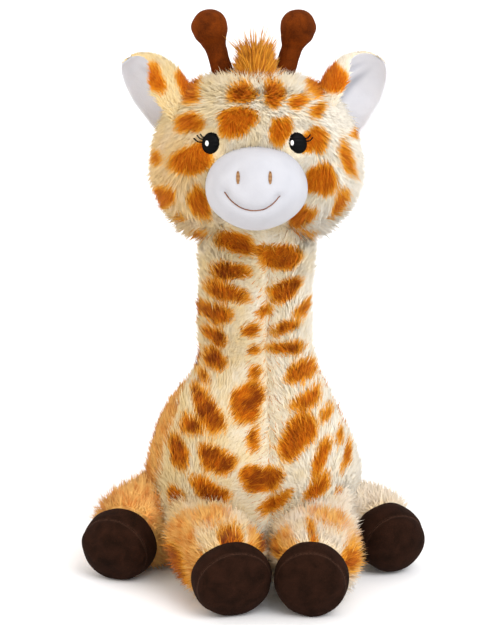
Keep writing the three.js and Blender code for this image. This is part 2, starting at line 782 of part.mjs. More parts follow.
function makeTail() {
  const group = new THREE.Group();
  const back = torso.halfDepth;
  const low = tail.tuftRadius - floorFlat;
  const root = new THREE.Vector3(0, back, tail.rootHeight);
  const bend = new THREE.Vector3(0, back + tail.reach / 2, tail.rootHeight);
  const drop = new THREE.Vector3(0, back + tail.reach / 2, low);
  const end = new THREE.Vector3(0, back + tail.reach, low);
  const tuftStart = end.clone().add(new THREE.Vector3(0, seamGap, 0));
  const tuftEnd = tuftStart.clone().add(new THREE.Vector3(0, tail.tuftLength, 0));
  const swing = new THREE.Vector3(1, 0, 0);
  const pinch = sweepOf(bodyForm(-seamGap, bodySides), root, swing, tail.lift);
  const route = new THREE.CubicBezierCurve3(root, bend, drop, end);
  const tuftRoute = new THREE.LineCurve3(tuftStart, tuftEnd);
  const tube = tubeForm(route, tailThickShares, tail.radius, 10, 10);
  const tuft = tubeForm(tuftRoute, tuftThickShares, tail.tuftRadius, 10, 7);
  group.add(
    piece("tail_tube", cut(tube, ...pinch, floorForm()), fabrics.fur),
    piece("tail_tuft", cut(tuft, floorForm()), fabrics.mane),
  );
  return group;
}

// The whole toy

const giraffe = new THREE.Group();
const turnedHead = new THREE.Group();
turnedHead.position.z = headMiddle;
turnedHead.rotation.z = radians(head.turned);
turnedHead.add(makeHead(), makeEar(1), makeEar(-1), makeOssicone(1), makeOssicone(-1));
giraffe.add(makeTorso(), makeNeck(), turnedHead, makeLegs(), makeTail());

export default giraffe;
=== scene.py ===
import math

import bpy
import bmesh
import numpy as np
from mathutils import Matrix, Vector
from mathutils.bvhtree import BVHTree


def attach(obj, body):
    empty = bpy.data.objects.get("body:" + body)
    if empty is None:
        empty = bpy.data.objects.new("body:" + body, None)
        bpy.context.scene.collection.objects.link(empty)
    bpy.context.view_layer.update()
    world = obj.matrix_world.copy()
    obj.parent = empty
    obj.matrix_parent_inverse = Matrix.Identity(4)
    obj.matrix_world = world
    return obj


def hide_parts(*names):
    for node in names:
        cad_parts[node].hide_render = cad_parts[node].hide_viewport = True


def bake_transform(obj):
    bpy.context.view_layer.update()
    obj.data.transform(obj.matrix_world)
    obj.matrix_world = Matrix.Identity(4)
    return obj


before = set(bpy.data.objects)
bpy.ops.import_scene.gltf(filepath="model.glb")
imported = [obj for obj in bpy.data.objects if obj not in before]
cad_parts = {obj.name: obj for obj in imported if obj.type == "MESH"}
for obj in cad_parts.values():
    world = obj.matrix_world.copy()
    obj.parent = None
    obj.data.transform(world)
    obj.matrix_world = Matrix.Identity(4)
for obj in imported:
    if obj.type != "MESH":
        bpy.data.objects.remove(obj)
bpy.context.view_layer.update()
print("frame loaded")

mm = 0.001
seed = 11
sideNames = {1: "left", -1: "right"}  # the toy's own left, at +X


# Small helpers

def linear(hexColour):
    channels = [int(hexColour[i:i + 2], 16) / 255 for i in (1, 3, 5)]
    return tuple(c / 12.92 if c <= 0.04045 else ((c + 0.055) / 1.055) ** 2.4 for c in channels) + (1.0,)


def setInputs(tree, node, links):  # by name or number, or in the order of the sockets in use
    if not isinstance(links, dict):
        links = dict(zip([number for number, socket in enumerate(node.inputs) if socket.enabled], links))
    for key, value in links.items():
        if isinstance(value, bpy.types.Node):  # a node stands for its first output in use
            value = next(socket for socket in value.outputs if socket.enabled)
        if isinstance(value, bpy.types.NodeSocket):
            tree.links.new(value, node.inputs[key])
        elif isinstance(value, str) and value.startswith("#"):
            node.inputs[key].default_value = linear(value)
        else:
            node.inputs[key].default_value = value


def addNode(tree, kind, links=(), stops=(), **settings):  # kind may name an operation after a space
    kind, _, operation = kind.partition(" ")
    node = tree.nodes.new(kind if "Node" in kind else "ShaderNode" + kind)
    if operation:
        node.operation = operation
    for name, value in settings.items():
        setattr(node, name, value)
    for _ in stops[2:]:
        node.color_ramp.elements.new(0.5)
    for number, (place, colour) in enumerate(stops):
        node.color_ramp.elements[number].position = place
        node.color_ramp.elements[number].color = linear(colour)
    setInputs(tree, node, links)
    return node


def mix(a, b, share):
    return a + (b - a) * share


def smoothStep(low, high, value):
    t = np.clip((np.asarray(value, float) - low) / (high - low), 0, 1)
    return t * t * (3 - 2 * t)


def hill(value, middle, width):  # 1 at the middle, nearly 0 at two widths from it
    return np.exp(-((value - middle) / width) ** 2)


def unit(vectors):
    vectors = np.asarray(vectors, float)
    return vectors / np.maximum(np.linalg.norm(vectors, axis=-1, keepdims=True), 1e-9)


def readTable(table, place):  # a smooth curve through a table that never overshoots its rows
    xs, ys = np.array(table, float).T
    steps = np.diff(ys) / np.diff(xs)
    both = steps[:-1] * steps[1:]
    slopes = np.concatenate([[steps[0]], np.where(both > 0, 2 * both / (steps[:-1] + steps[1:] + 1e-12), 0),
                             [steps[-1]]])
    place = np.clip(np.asarray(place, float), xs[0], xs[-1])
    at = np.clip(np.searchsorted(xs, place) - 1, 0, len(xs) - 2)
    wide = xs[at + 1] - xs[at]
    t = (place - xs[at]) / wide
    return (ys[at] * (2 * t**3 - 3 * t**2 + 1) + slopes[at] * wide * (t**3 - 2 * t**2 + t)
            + ys[at + 1] * (3 * t**2 - 2 * t**3) + slopes[at + 1] * wide * (t**3 - t**2))


def lumps(points, size, seedShift):  # soft waves of stuffing, about -1 to 1
    rng = np.random.default_rng(seed + seedShift)
    total = np.zeros(len(points))
    for _ in range(14):
        way = unit(rng.normal(size=3))
        total += np.sin(points @ way * (2 * math.pi / (size * rng.uniform(0.7, 1.5))) + rng.uniform(0, 6.28))
    return total / 5


def setAttributes(mesh, **fields):
    for name, values in fields.items():
        values = np.asarray(values, np.float32)
        kind, key = ("FLOAT_VECTOR", "vector") if values.ndim == 2 else ("FLOAT", "value")
        attribute = mesh.attributes.get(name) or mesh.attributes.new(name, kind, "POINT")
        attribute.data.foreach_set(key, values.ravel())


def circleTurns(sides):
    return np.linspace(0, 2 * math.pi, sides, endpoint=False)


def places(mesh, attribute=None):
    data = mesh.vertices if attribute is None else mesh.attributes[attribute].data
    values = np.zeros(len(mesh.vertices) * 3, np.float32)
    data.foreach_get("co" if attribute is None else "vector", values)
    return values.reshape(-1, 3).astype(float)


def normalsOf(mesh):
    values = np.zeros(len(mesh.vertices) * 3, np.float32)
    mesh.vertex_normals.foreach_get("vector", values)
    return values.reshape(-1, 3).astype(float)


def addObject(name, data):
    thing = bpy.data.objects.new(name, data)
    bpy.context.scene.collection.objects.link(thing)
    return thing


def meshPiece(name, points, faces, material):  # points in millimetres
    mesh = bpy.data.meshes.new(name)
    mesh.from_pydata((np.asarray(points, float) * mm).tolist(), [], faces)
    mesh.polygons.foreach_set("use_smooth", [True] * len(mesh.polygons))
    builder = bmesh.new()
    builder.from_mesh(mesh)
    bmesh.ops.recalc_face_normals(builder, faces=builder.faces)
    builder.to_mesh(mesh)
    builder.free()
    mesh.materials.append(material)
    return addObject(name, mesh)


def movePoints(piece, points):  # points in millimetres
    piece.data.vertices.foreach_set("co", (points * mm).astype(np.float32).ravel())
    piece.data.update()


def ringFaces(rows, sides, closed=True):
    faces = []
    for row in range(rows - 1):
        for side in range(sides if closed else sides - 1):
            a, b = row * sides + side, row * sides + (side + 1) % sides
            faces.append((a, b, b + sides, a + sides))
    return faces


def ringPiece(name, rings, material):  # a closed form through rings of points, with a pole at each end
    rings = np.asarray(rings, float)
    rows, sides = rings.shape[:2]
    points = np.concatenate([rings.reshape(-1, 3), [rings[0].mean(0)], [rings[-1].mean(0)]])
    first, last = rows * sides, rows * sides + 1
    faces = ringFaces(rows, sides)
    for side in range(sides):
        after = (side + 1) % sides
        faces.append((first, after, side))
        faces.append((last, (rows - 1) * sides + side, (rows - 1) * sides + after))
    return meshPiece(name, points, faces, material)


def sheetPiece(name, outer, inner, material):  # two grids of points joined round their edge
    rows, columns = outer.shape[:2]
    points = np.concatenate([outer.reshape(-1, 3), inner.reshape(-1, 3)])
    half = rows * columns
    faces = ringFaces(rows, columns, closed=False)
    faces += [tuple(half + i for i in reversed(face)) for face in faces]
    edge = [c for c in range(columns)] + [r * columns + columns - 1 for r in range(1, rows)]
    edge += ([(rows - 1) * columns + c for c in range(columns - 2, -1, -1)]
             + [r * columns for r in range(rows - 2, 0, -1)])
    for a, b in zip(edge, edge[1:] + edge[:1]):
        faces.append((b, a, half + a, half + b))
    return meshPiece(name, points, faces, material)


# Camera, light and floor

cameraView = {"place": (-102.2, -1245.8, 434.6), "aim": (0.0785, 0.9969), "pitch": 11.734,
              "focalPixels": 1868.94, "imageHeight": 625, "sensor": 36}


def makeCamera():
    view = cameraView
    data = bpy.data.cameras.new("photoCamera")
    data.sensor_fit = "VERTICAL"
    data.sensor_height = view["sensor"]
    data.lens = view["focalPixels"] * view["sensor"] / view["imageHeight"]
    data.clip_end = 100
    camera = addObject("photoCamera", data)
    pitch = math.radians(view["pitch"])
    aim = Vector((view["aim"][0] * math.cos(pitch), view["aim"][1] * math.cos(pitch), -math.sin(pitch)))
    camera.location = Vector(view["place"]) * mm
    camera.rotation_euler = aim.to_track_quat("-Z", "Y").to_euler()
    bpy.context.scene.camera = camera


studio = {"world": "#fcfcfd", "worldStrength": 1.08, "floor": "#fafafa", "floorRadius": 30000,
          "key": {"colour": "#fcfcff", "strength": 1.8, "softness": 40, "turn": (46, 0, 30)},
          "fill": {"colour": "#ffd498", "strength": 0.5, "softness": 70, "turn": (62, 0, -62)}}


def makeStudio():
    scene = bpy.context.scene
    scene.view_settings.view_transform = "Standard"
    world = bpy.data.worlds.new("studioWorld")
    world.use_nodes = True
    background = world.node_tree.nodes["Background"]
    background.inputs["Color"].default_value = linear(studio["world"])
    background.inputs["Strength"].default_value = studio["worldStrength"]
    scene.world = world
    for name in ("key", "fill"):
        lamp = studio[name]
        data = bpy.data.lights.new(name, "SUN")
        data.energy = lamp["strength"]
        data.angle = math.radians(lamp["softness"])
        data.color = linear(lamp["colour"])[:3]
        addObject(name, data).rotation_euler = [math.radians(a) for a in lamp["turn"]]
    sides, reach = 64, studio["floorRadius"]
    ring = [(reach * math.cos(turn), reach * math.sin(turn), 0)
            for turn in (2 * math.pi * i / sides for i in range(sides))]
    paper = bpy.data.materials.new("studioPaper")  # matt seamless paper
    paper.use_nodes = True
    shader = paper.node_tree.nodes["Principled BSDF"]
    shader.inputs["Base Color"].default_value = linear(studio["floor"])
    shader.inputs["Roughness"].default_value = 0.95
    floor = meshPiece("floor", ring, [tuple(range(sides))], paper)
    if floor.data.polygons[0].normal.z < 0:
        floor.data.flip_normals()


makeCamera()
makeStudio()
print("camera and studio made")


# Cloths

def newMaterial(name, **values):
    material = bpy.data.materials.new(name)
    material.use_nodes = True
    tree = material.node_tree
    shader = tree.nodes["Principled BSDF"]
    setInputs(tree, shader, {socket.replace("_", " "): value for socket, value in values.items()})
    return material, tree, shader


# roots: colour factors for the painted shade at the strand roots; warmCream also paints shade on the viewer's
# left, deep also paints shade under the chin
plush = {"cream": "#fbf5e8", "warmCream": "#f4dfae", "fringe": "#f4b650", "orange": "#f09e22",
         "rust": "#e0800c", "core": "#cc6602", "deep": "#863a00", "streak": "#7d3806", "flank": "#f6bd6a",
         "flankDeep": "#dd8630", "roots": (0.94, 0.83, 0.62), "grain": 2.2, "clouds": 14, "blotches": 11,
         "smearWidth": 6, "smearLength": 17}


# long-pile polyester plush, airbrushed in patches: soft, matt, a little brighter at the tips, with painted
# shade towards the strand roots
def makePlush():
    material, tree, shader = newMaterial("long_pile_plush", Roughness=0.9, Sheen_Weight=0.09,
                                         Sheen_Roughness=0.6, Sheen_Tint="#ffe6be", Specular_IOR_Level=0.12)
    place = addNode(tree, "TexCoord").outputs["Object"]
    ways = addNode(tree, "SeparateXYZ", [place]).outputs
    grain, clouds, blotches = (
        addNode(tree, "TexNoise", {"Vector": place, "Scale": 1 / (plush[size] * mm), "Detail": detail})
        for size, detail in (("grain", 2.0), ("clouds", 2.0), ("blotches", 1.0)))
    finer = [1 / (plush[size] * mm) for size in ("smearWidth", "smearWidth", "smearLength")]
    drawn = addNode(tree, "Mapping", {"Vector": place, "Scale": finer})
    smears = addNode(tree, "TexNoise", {"Vector": drawn, "Scale": 1.0, "Detail": 2.0})
    tone, along, patch, flank = (addNode(tree, "Attribute", attribute_name=name).outputs["Fac"]
                                 for name in ("tone", "along", "patch", "flank"))
    jitter = addNode(tree, "Math MULTIPLY_ADD", (tone, 0.4, -0.2))
    inPatch = addNode(tree, "Math MINIMUM", (addNode(tree, "Math MULTIPLY", (patch, 4)), 1))
    level = addNode(tree, "Math ADD", (patch, addNode(tree, "Math MULTIPLY", (jitter, inPatch))))
    level = addNode(tree, "Math MULTIPLY_ADD", (addNode(tree, "Math SUBTRACT", (grain, 0.5)), 0.25, level))
    # cream: warmer in random clouds, plus painted shade warming the viewer's left side (-X), away from the
    # key light
    creamToneAndSideShade = addNode(tree, "Math MULTIPLY_ADD", (clouds, 1.6, -0.4))
    creamToneAndSideShade = addNode(tree, "Math MULTIPLY_ADD", (ways[0], -9, creamToneAndSideShade))
    cream = addNode(tree, "Mix", (creamToneAndSideShade, plush["cream"], plush["warmCream"]), data_type="RGBA")
    smear = addNode(tree, "Math MULTIPLY_ADD", (smears, 4.0, -2.05))
    smear = addNode(tree, "Math MULTIPLY_ADD", (tone, 0.7, smear))
    tan = addNode(tree, "Mix", (smear, plush["flank"], plush["flankDeep"]), data_type="RGBA")
    base = addNode(tree, "Mix", (flank, cream, tan), data_type="RGBA")
    painted = addNode(tree, "ValToRGB", [level], [(0.0, plush["fringe"]), (0.38, plush["fringe"]),
                                                  (0.64, plush["orange"]), (0.88, plush["rust"]),
                                                  (1.0, plush["core"])])
    deepPaintAndShade = 1
    # deeper brown paint below the head, with painted shade under the chin; less of it towards +X, the lit
    # side, as painted light
    for axis, slope, start, least in ((2, -22, 5.6, 0), (0, -16, 0.95, 0.3)):
        share = addNode(tree, "Math MULTIPLY_ADD", (ways[axis], slope, start))
        share = addNode(tree, "Math MINIMUM", (addNode(tree, "Math MAXIMUM", (share, least)), 1))
        deepPaintAndShade = addNode(tree, "Math MULTIPLY", (deepPaintAndShade, share))
    blotched = addNode(tree, "Math MULTIPLY_ADD", (blotches, 4.0, -1.35))
    deep = addNode(tree, "Math MULTIPLY", (blotched, addNode(tree, "Math MULTIPLY_ADD", (level, 1.6, -0.8))))
    deep = addNode(tree, "Math MULTIPLY", (deep, deepPaintAndShade))
    painted = addNode(tree, "Mix", (deep, painted, plush["deep"]), data_type="RGBA")
    # random dark strands in the patches, more of them where the deep paint and painted shade lie
    streak = addNode(tree, "Math MULTIPLY", (level, addNode(tree, "Math MULTIPLY_ADD", (deepPaintAndShade, 0.45, 0.2))))
    streak = addNode(tree, "Math MULTIPLY", (addNode(tree, "Math GREATER_THAN", (tone, 0.85)), streak))
    painted = addNode(tree, "Mix", (streak, painted, plush["streak"]), data_type="RGBA")
    covered = addNode(tree, "Math MULTIPLY_ADD", (level, 3.2, -0.45))
    shown = addNode(tree, "Mix", (covered, base, painted), data_type="RGBA")
    # painted shade between the strands: warmer and dimmer towards the roots (along 0) by plush roots; fleck
    # is a random tone per strand
    fleck = addNode(tree, "Math MULTIPLY_ADD", (tone, 0.12, 0.92))
    rootShades = [addNode(tree, "Math MULTIPLY",
                      (addNode(tree, "Math MULTIPLY_ADD", (along, 1 - low, low)), fleck))
              for low in plush["roots"]]
    shown = addNode(tree, "Mix", (1.0, shown, addNode(tree, "CombineColor", rootShades)), data_type="RGBA",
                    blend_type="MULTIPLY")
    setInputs(tree, shader, {"Base Color": shown})
    return material


def makeManePlush():  # longer, unpainted orange pile, spiky and a little glossy
    material, tree, shader = newMaterial("mane_plush", Roughness=0.8, Sheen_Weight=0.12, Sheen_Roughness=0.5,
                                         Sheen_Tint="#ffd9a0", Specular_IOR_Level=0.3)
    tone, along = (addNode(tree, "Attribute", attribute_name=name).outputs["Fac"]
                   for name in ("tone", "along"))
    colour = addNode(tree, "ValToRGB", [tone], [(0.0, "#a85408"), (0.3, "#d68412"), (0.7, "#ea9a1e"),
                                                (1.0, "#f2ac38")])
    # painted shade between the strands: dimmer towards the roots
    dark = addNode(tree, "CombineColor", [addNode(tree, "Math MULTIPLY_ADD", (along, 0.35, 0.65))] * 3)
    shown = addNode(tree, "Mix", (1.0, colour, dark), data_type="RGBA", blend_type="MULTIPLY")
    setInputs(tree, shader, {"Base Color": shown})
    return material


def makeVelour(name, pale, deep, sheen, nap):  # short cut pile: dark face on, a pale bloom at edges from the sheen, and a painted highlight along the seams
    material, tree, shader = newMaterial(name, Roughness=0.9, Sheen_Weight=0.14, Sheen_Roughness=0.35,
                                         Sheen_Tint=sheen, Specular_IOR_Level=0.06)
    place = addNode(tree, "TexCoord").outputs["Object"]
    fine = addNode(tree, "TexNoise", {"Vector": place, "Scale": 1 / (nap * mm), "Detail": 3.0})
    brushed = addNode(tree, "TexNoise", {"Vector": place, "Scale": 1 / (9 * mm), "Detail": 3.0,
                                         "Distortion": 0.6})
    share = addNode(tree, "Math MULTIPLY_ADD", (brushed, 1.8, -0.4))
    share = addNode(tree, "Math MULTIPLY_ADD", (addNode(tree, "Math SUBTRACT", (fine, 0.5)), 0.9, share))
    cloth = addNode(tree, "Mix", (share, deep, pale), data_type="RGBA")
    # painted highlight: the sheen colour along the seam, where the parted pile catches the light
    seam = addNode(tree, "Attribute", attribute_name="seam").outputs["Fac"]
    seamHighlight = addNode(tree, "Math MULTIPLY", (seam, addNode(tree, "Math MULTIPLY_ADD", (fine, 1.6, -0.3))))
    setInputs(tree, shader, {"Base Color": addNode(tree, "Mix", (seamHighlight, cloth, sheen), data_type="RGBA"),
                             "Normal": addNode(tree, "Bump", {"Height": fine, "Distance": 0.25 * mm})})
    return material


# short-pile minky: blue-white, soft, with faint brushed clouds, and painted shade in a fold
def makeMinky(name, pale, deep):
    material, tree, shader = newMaterial(name, Roughness=0.85, Sheen_Weight=0.2, Sheen_Roughness=0.4,
                                         Sheen_Tint="#ffffff", Specular_IOR_Level=0.25)
    place = addNode(tree, "TexCoord").outputs["Object"]
    fine, clouds = (addNode(tree, "TexNoise", {"Vector": place, "Scale": 1 / (size * mm), "Detail": 2.0})
                    for size in (0.9, 16))
    share = addNode(tree, "Math MULTIPLY_ADD", (clouds, 1.4, -0.2))
    cloth = addNode(tree, "Mix", (share, pale, deep), data_type="RGBA")
    # painted shade in the fold of the lining
    fold = addNode(tree, "Attribute", attribute_name="fold").outputs["Fac"]
    setInputs(tree, shader, {"Base Color": addNode(tree, "Mix", (fold, cloth, "#8f929e"), data_type="RGBA"),
                             "Normal": addNode(tree, "Bump", {"Height": fine, "Distance": 0.18 * mm})})
    return material


# rayon embroidery thread in satin stitch: a silky line a thread
def makeThread(name, colour, pale, roughness, shine):
    material, tree, shader = newMaterial(name, Roughness=roughness, Specular_IOR_Level=shine)
    place = addNode(tree, "TexCoord").outputs["Object"]
    wave = addNode(tree, "TexWave", {"Vector": place, "Scale": 1 / (threadSpacing * mm) / 20,
                                     "Distortion": 0.4, "Detail": 1.0}, bands_direction="Z").outputs["Fac"]
    setInputs(tree, shader, {"Base Color": addNode(tree, "Mix", (wave, colour, pale), data_type="RGBA"),
                             "Normal": addNode(tree, "Bump", {"Height": wave, "Distance": 0.15 * mm})})
    return material


def makeInside(name, colour, grain):  # polyester wadding or pouch cloth, hidden inside the skins
    material, tree, shader = newMaterial(name, Roughness=0.95)
    place = addNode(tree, "TexCoord").outputs["Object"]
    noise = addNode(tree, "TexNoise", {"Vector": place, "Scale": 1 / (grain * mm), "Detail": 4.0})
    setInputs(tree, shader,
              {"Base Color": addNode(tree, "ValToRGB", [noise], [(0.3, colour), (0.7, "#ffffff")]),
               "Normal": addNode(tree, "Bump", {"Height": noise, "Distance": 0.6 * mm})})
    return material


threadSpacing = 0.4
plushCloth = makePlush()
maneCloth = makeManePlush()
minky = makeMinky("white_minky", "#c1c2c7", "#b3b4ba")
earMinky = makeMinky("ear_minky", "#e4e4e8", "#d4d5dc")
hoofVelour = makeVelour("hoof_velour", "#2b170e", "#160a04", "#4e3529", 0.8)
ossiconeVelour = makeVelour("ossicone_velour", "#713207", "#461c03", "#b06a34", 0.8)
eyeThread = makeThread("eye_thread", "#030304", "#060608", 0.5, 0.08)
glintThread = makeThread("glint_thread", "#f4f4f4", "#ffffff", 0.4, 0.4)
mouthThread = makeThread("mouth_thread", "#6c4029", "#8a5838", 0.6, 0.2)
nostrilThread = makeThread("nostril_thread", "#8a6440", "#a17a50", 0.6, 0.2)
wadding = makeInside("polyester_filling", "#ecebe6", 3)
pouchCloth = makeInside("bean_pouch", "#cfcdc6", 1.2)
print("cloths made")


# The pile: one three-sided strand, set over a skin along its comb direction

strandPoints = 4
pileFloor = 0.35


def strandMesh():
    points = [(0.03, -0.5, 0), (0.03, 0.5, 0), (-0.06, 0, 0.1), (1, 0, 1)]
    mesh = bpy.data.meshes.new("strand")
    mesh.from_pydata(points, [], [(0, 1, 3), (1, 2, 3), (2, 0, 3)])
    setAttributes(mesh, along=[0, 0, 0, 1])
    return addObject("strand", mesh)


def openTree(name, inputs):  # a geometry tree with named inputs
    tree = bpy.data.node_groups.new(name, "GeometryNodeTree")
    for label, kind in (("Geometry", "Geometry"),) + inputs:
        tree.interface.new_socket(name=label, in_out="INPUT", socket_type="NodeSocket" + kind)
    tree.interface.new_socket(name="Geometry", in_out="OUTPUT", socket_type="NodeSocketGeometry")
    return tree, addNode(tree, "NodeGroupInput").outputs


# real faces in their own cloth. Gives the tree and what its inputs are called
def closeTree(tree, planted, cloth):
    real = addNode(tree, "GeometryNodeRealizeInstances", {"Geometry": planted})
    dressed = addNode(tree, "GeometryNodeSetMaterial", {"Geometry": real, "Material": cloth})
    addNode(tree, "NodeGroupOutput", {0: dressed})
    return tree, {item.name: item.identifier for item in tree.interface.items_tree if item.in_out == "INPUT"}


def grow(name, base, group, values, **options):  # the mesh that a tree makes on an object, which is used up
    tree, inputs = group
    growth = base.modifiers.new(name, "NODES")
    growth.node_group = tree
    for key, value in values.items():
        growth[inputs[key]] = value
    bpy.context.view_layer.update()
    graph = bpy.context.evaluated_depsgraph_get()
    mesh = bpy.data.meshes.new_from_object(base.evaluated_get(graph), depsgraph=graph, **options)
    mesh.name = name
    bpy.data.objects.remove(base)
    mesh.polygons.foreach_set("use_smooth", [True] * len(mesh.polygons))
    return addObject(name, mesh)


def pileTree():
    numbers = ("Density", "Lean", "Lift", "Width", "Clump Size", "Clump Strength", "Spread", "Shortest")
    tree, given = openTree("pile", (("Strand", "Object"), ("Cloth", "Material"), ("Seed", "Int"))
                           + tuple((name, "Float") for name in numbers))
    thick, reach, trail, stand = (addNode(tree, "GeometryNodeInputNamedAttribute", [name], data_type="FLOAT")
                                  for name in ("thick", "reach", "trail", "stand"))
    combed, outward = (addNode(tree, "GeometryNodeInputNamedAttribute", [name], data_type="FLOAT_VECTOR")
                       for name in ("comb", "outward"))
    chances = []
    ranges = ((0.0, 1.0), (-0.5, 0.5), (-0.22, 0.22), (given["Shortest"], 1.25), (0.7, 1.3), (0.55, 1.3))
    for shift, (low, high) in enumerate(ranges, 1):
        shifted = addNode(tree, "Math ADD", (given["Seed"], shift))
        chances.append(addNode(tree, "FunctionNodeRandomValue", {2: low, 3: high, "Seed": shifted},
                               data_type="FLOAT"))
    tone, pitch, yaw, shortening, widening, rising = chances
    scatter = addNode(tree, "GeometryNodeDistributePointsOnFaces",
                      {"Mesh": given["Geometry"], "Seed": given["Seed"],
                       "Density": addNode(tree, "Math MULTIPLY", (given["Density"], thick))})
    place = addNode(tree, "GeometryNodeInputPosition")
    points = scatter
    for name, value, kind in (("outward", scatter.outputs["Normal"], "FLOAT_VECTOR"),
                              ("root", place, "FLOAT_VECTOR"), ("tone", tone, "FLOAT")):
        points = addNode(tree, "GeometryNodeStoreNamedAttribute",
                         {"Geometry": points, "Name": name, "Value": value}, data_type=kind, domain="POINT")
    finer = addNode(tree, "Math DIVIDE", (1.0, given["Clump Size"]))
    clumps = addNode(tree, "TexNoise", {"Vector": place, "Scale": finer, "Detail": 1.0}).outputs["Color"]
    pull = addNode(tree, "VectorMath SCALE", (addNode(tree, "VectorMath SUBTRACT", (clumps, (0.5, 0.5, 0.5))),
                                              addNode(tree, "Math MULTIPLY", (given["Clump Strength"], 4.0))))
    wild = addNode(tree, "FunctionNodeRandomValue", ((-1, -1, -1), (1, 1, 1)), data_type="FLOAT_VECTOR")
    strayed = addNode(tree, "VectorMath SCALE", (wild, given["Spread"]))
    comb = addNode(tree, "VectorMath ADD", (addNode(tree, "VectorMath ADD", (combed, pull)), strayed))
    turn = addNode(tree, "FunctionNodeAxesToRotation", (outward, comb), primary_axis="Z", secondary_axis="X")
    roll = addNode(tree, "FunctionNodeEulerToRotation", [addNode(tree, "CombineXYZ", (pitch, yaw, 0.0))])
    rotated = addNode(tree, "FunctionNodeRotateRotation", (turn, roll), rotation_space="LOCAL")
    reach = addNode(tree, "Math MULTIPLY", (reach, shortening))
    sizes = []
    for size, *factors in ((given["Lean"], reach, trail), (given["Width"], widening),
                           (given["Lift"], reach, stand, rising)):
        for factor in factors:
            size = addNode(tree, "Math MULTIPLY", (size, factor))
        sizes.append(size)
    strand = addNode(tree, "GeometryNodeObjectInfo", [given["Strand"]]).outputs["Geometry"]
    sized = addNode(tree, "CombineXYZ", sizes)
    planted = addNode(tree, "GeometryNodeInstanceOnPoints", {"Points": points, "Instance": strand,
                                                             "Rotation": rotated, "Scale": sized})
    return closeTree(tree, planted, given["Cloth"])


strandShape = strandMesh()
pile = pileTree()
strandCount = 0


# a separate mesh of strands rooted on a skin
def growPile(name, skin, thick, look, cloth, seedShift, paint=None):
    global strandCount
    bed = addObject(name + "_bed", skin.data.copy())
    setAttributes(bed.data, thick=thick)
    for share in ("stand", "trail"):
        if share not in bed.data.attributes:
            setAttributes(bed.data, **{share: np.ones(len(bed.data.vertices))})
    values = {"Strand": strandShape, "Cloth": cloth, "Density": look["density"] / mm**2,
              "Lean": look["lean"] * mm, "Lift": look["lift"] * mm, "Width": look["width"] * mm,
              "Clump Size": look["clump"] * mm, "Clump Strength": look["clumping"],
              "Spread": look["spread"], "Shortest": look.get("shortest", 0.6), "Seed": seed + seedShift}
    fur = grow(name, bed, pile, values, preserve_all_data_layers=True)
    mesh = fur.data
    points = places(mesh)
    points[:, 2] = np.maximum(points[:, 2], pileFloor * mm)
    mesh.vertices.foreach_set("co", points.astype(np.float32).ravel())
    mesh.update()
    soft = unit(mix(normalsOf(mesh), places(mesh, "outward"), look["softness"]))
    mesh.normals_split_custom_set_from_vertices(soft.astype(np.float32))
    if paint is not None:
        paint(fur)
    for spare in ("root", "outward"):
        mesh.attributes.remove(mesh.attributes[spare])
    count = len(points) // strandPoints
    # along runs from root to tip for the painted root shade; paleRoots lessens that shade at the roots
    setAttributes(mesh, along=np.tile([look.get("paleRoots", 0)] * 3 + [1], count))
    bakeCells(mesh, count)
    strandCount += count
    print(name, count, "strands")
    return fur


def bakeCells(mesh, count):  # a cell of the texture for each strand, root at its foot and tip at its head
    rows = max(1, math.ceil(math.sqrt(count)))
    vertex = np.zeros(len(mesh.loops), np.int32)
    mesh.loops.foreach_get("vertex_index", vertex)
    strand, corner = vertex // strandPoints, vertex % strandPoints
    inCell = np.array([(0.12, 0.12), (0.88, 0.12), (0.5, 0.12), (0.5, 0.88)])[corner]
    cell = np.stack([strand % rows, strand // rows], -1)
    layer = mesh.uv_layers.new(name="OFBake")
    layer.data.foreach_set("uv", ((cell + inCell) / rows).astype(np.float32).ravel())


# Painted patches: each lies on the skin where it is seen, as an oval with a wavy edge

def wavyReach(angle, which):
    phases = np.random.default_rng(1000 + which).uniform(0, 6.28, 3)
    return (1 + 0.09 * np.sin(2 * angle + phases[0]) + 0.08 * np.sin(3 * angle + phases[1])
            + 0.05 * np.sin(5 * angle + phases[2]))


# 0 outside, 1 well inside. Points are in the patches' own frame, in millimetres
def patchLevel(points, patches):
    level = np.zeros(len(points))
    for which, (middle, across, up, halfAcross, halfUp, tilt) in enumerate(patches):
        offset = points - middle
        depth = offset @ np.cross(across, up)
        a0, b0 = offset @ across, offset @ up
        near = ((np.abs(depth) < 26) & (np.abs(a0) < 1.6 * max(halfAcross, halfUp))
                & (np.abs(b0) < 1.6 * max(halfAcross, halfUp)))
        if not near.any():
            continue
        c, s = math.cos(math.radians(tilt)), math.sin(math.radians(tilt))
        a = (a0[near] * c + b0[near] * s) / halfAcross
        b = (b0[near] * c - a0[near] * s) / halfUp
        away = (np.abs(a) ** 2.5 + np.abs(b) ** 2.5) ** 0.4 / wavyReach(np.arctan2(b, a), which)
        edge = 1.7 / min(halfAcross, halfUp)  # the painted edge is about 4 mm soft
        level[near] = np.maximum(level[near], np.clip((1 + 0.7 * edge - away) / (edge * 2.4), 0, 1))
    return level


def scatterPatches(points, normals, allowed, spacing, sizes, avoid, seedShift, top=(0, 0, 1)):
    rng = np.random.default_rng(seed + seedShift)
    chosen = []
    taken = [np.asarray(p[0], float) for p in avoid]
    candidates = np.flatnonzero(allowed)
    for index in rng.permutation(candidates):
        here = points[index]
        if any(np.linalg.norm(here - other) < spacing for other in taken):
            continue
        normal = normals[index]
        across = unit(np.cross(np.asarray(top, float), normal))
        up = np.cross(normal, across)
        taken.append(here)
        chosen.append((here, across, up, rng.uniform(*sizes[0]), rng.uniform(*sizes[1]),
                       rng.uniform(-35, 35)))
    return chosen


# Torso and neck: one skin from the seat to the head, so the front and back panels run through

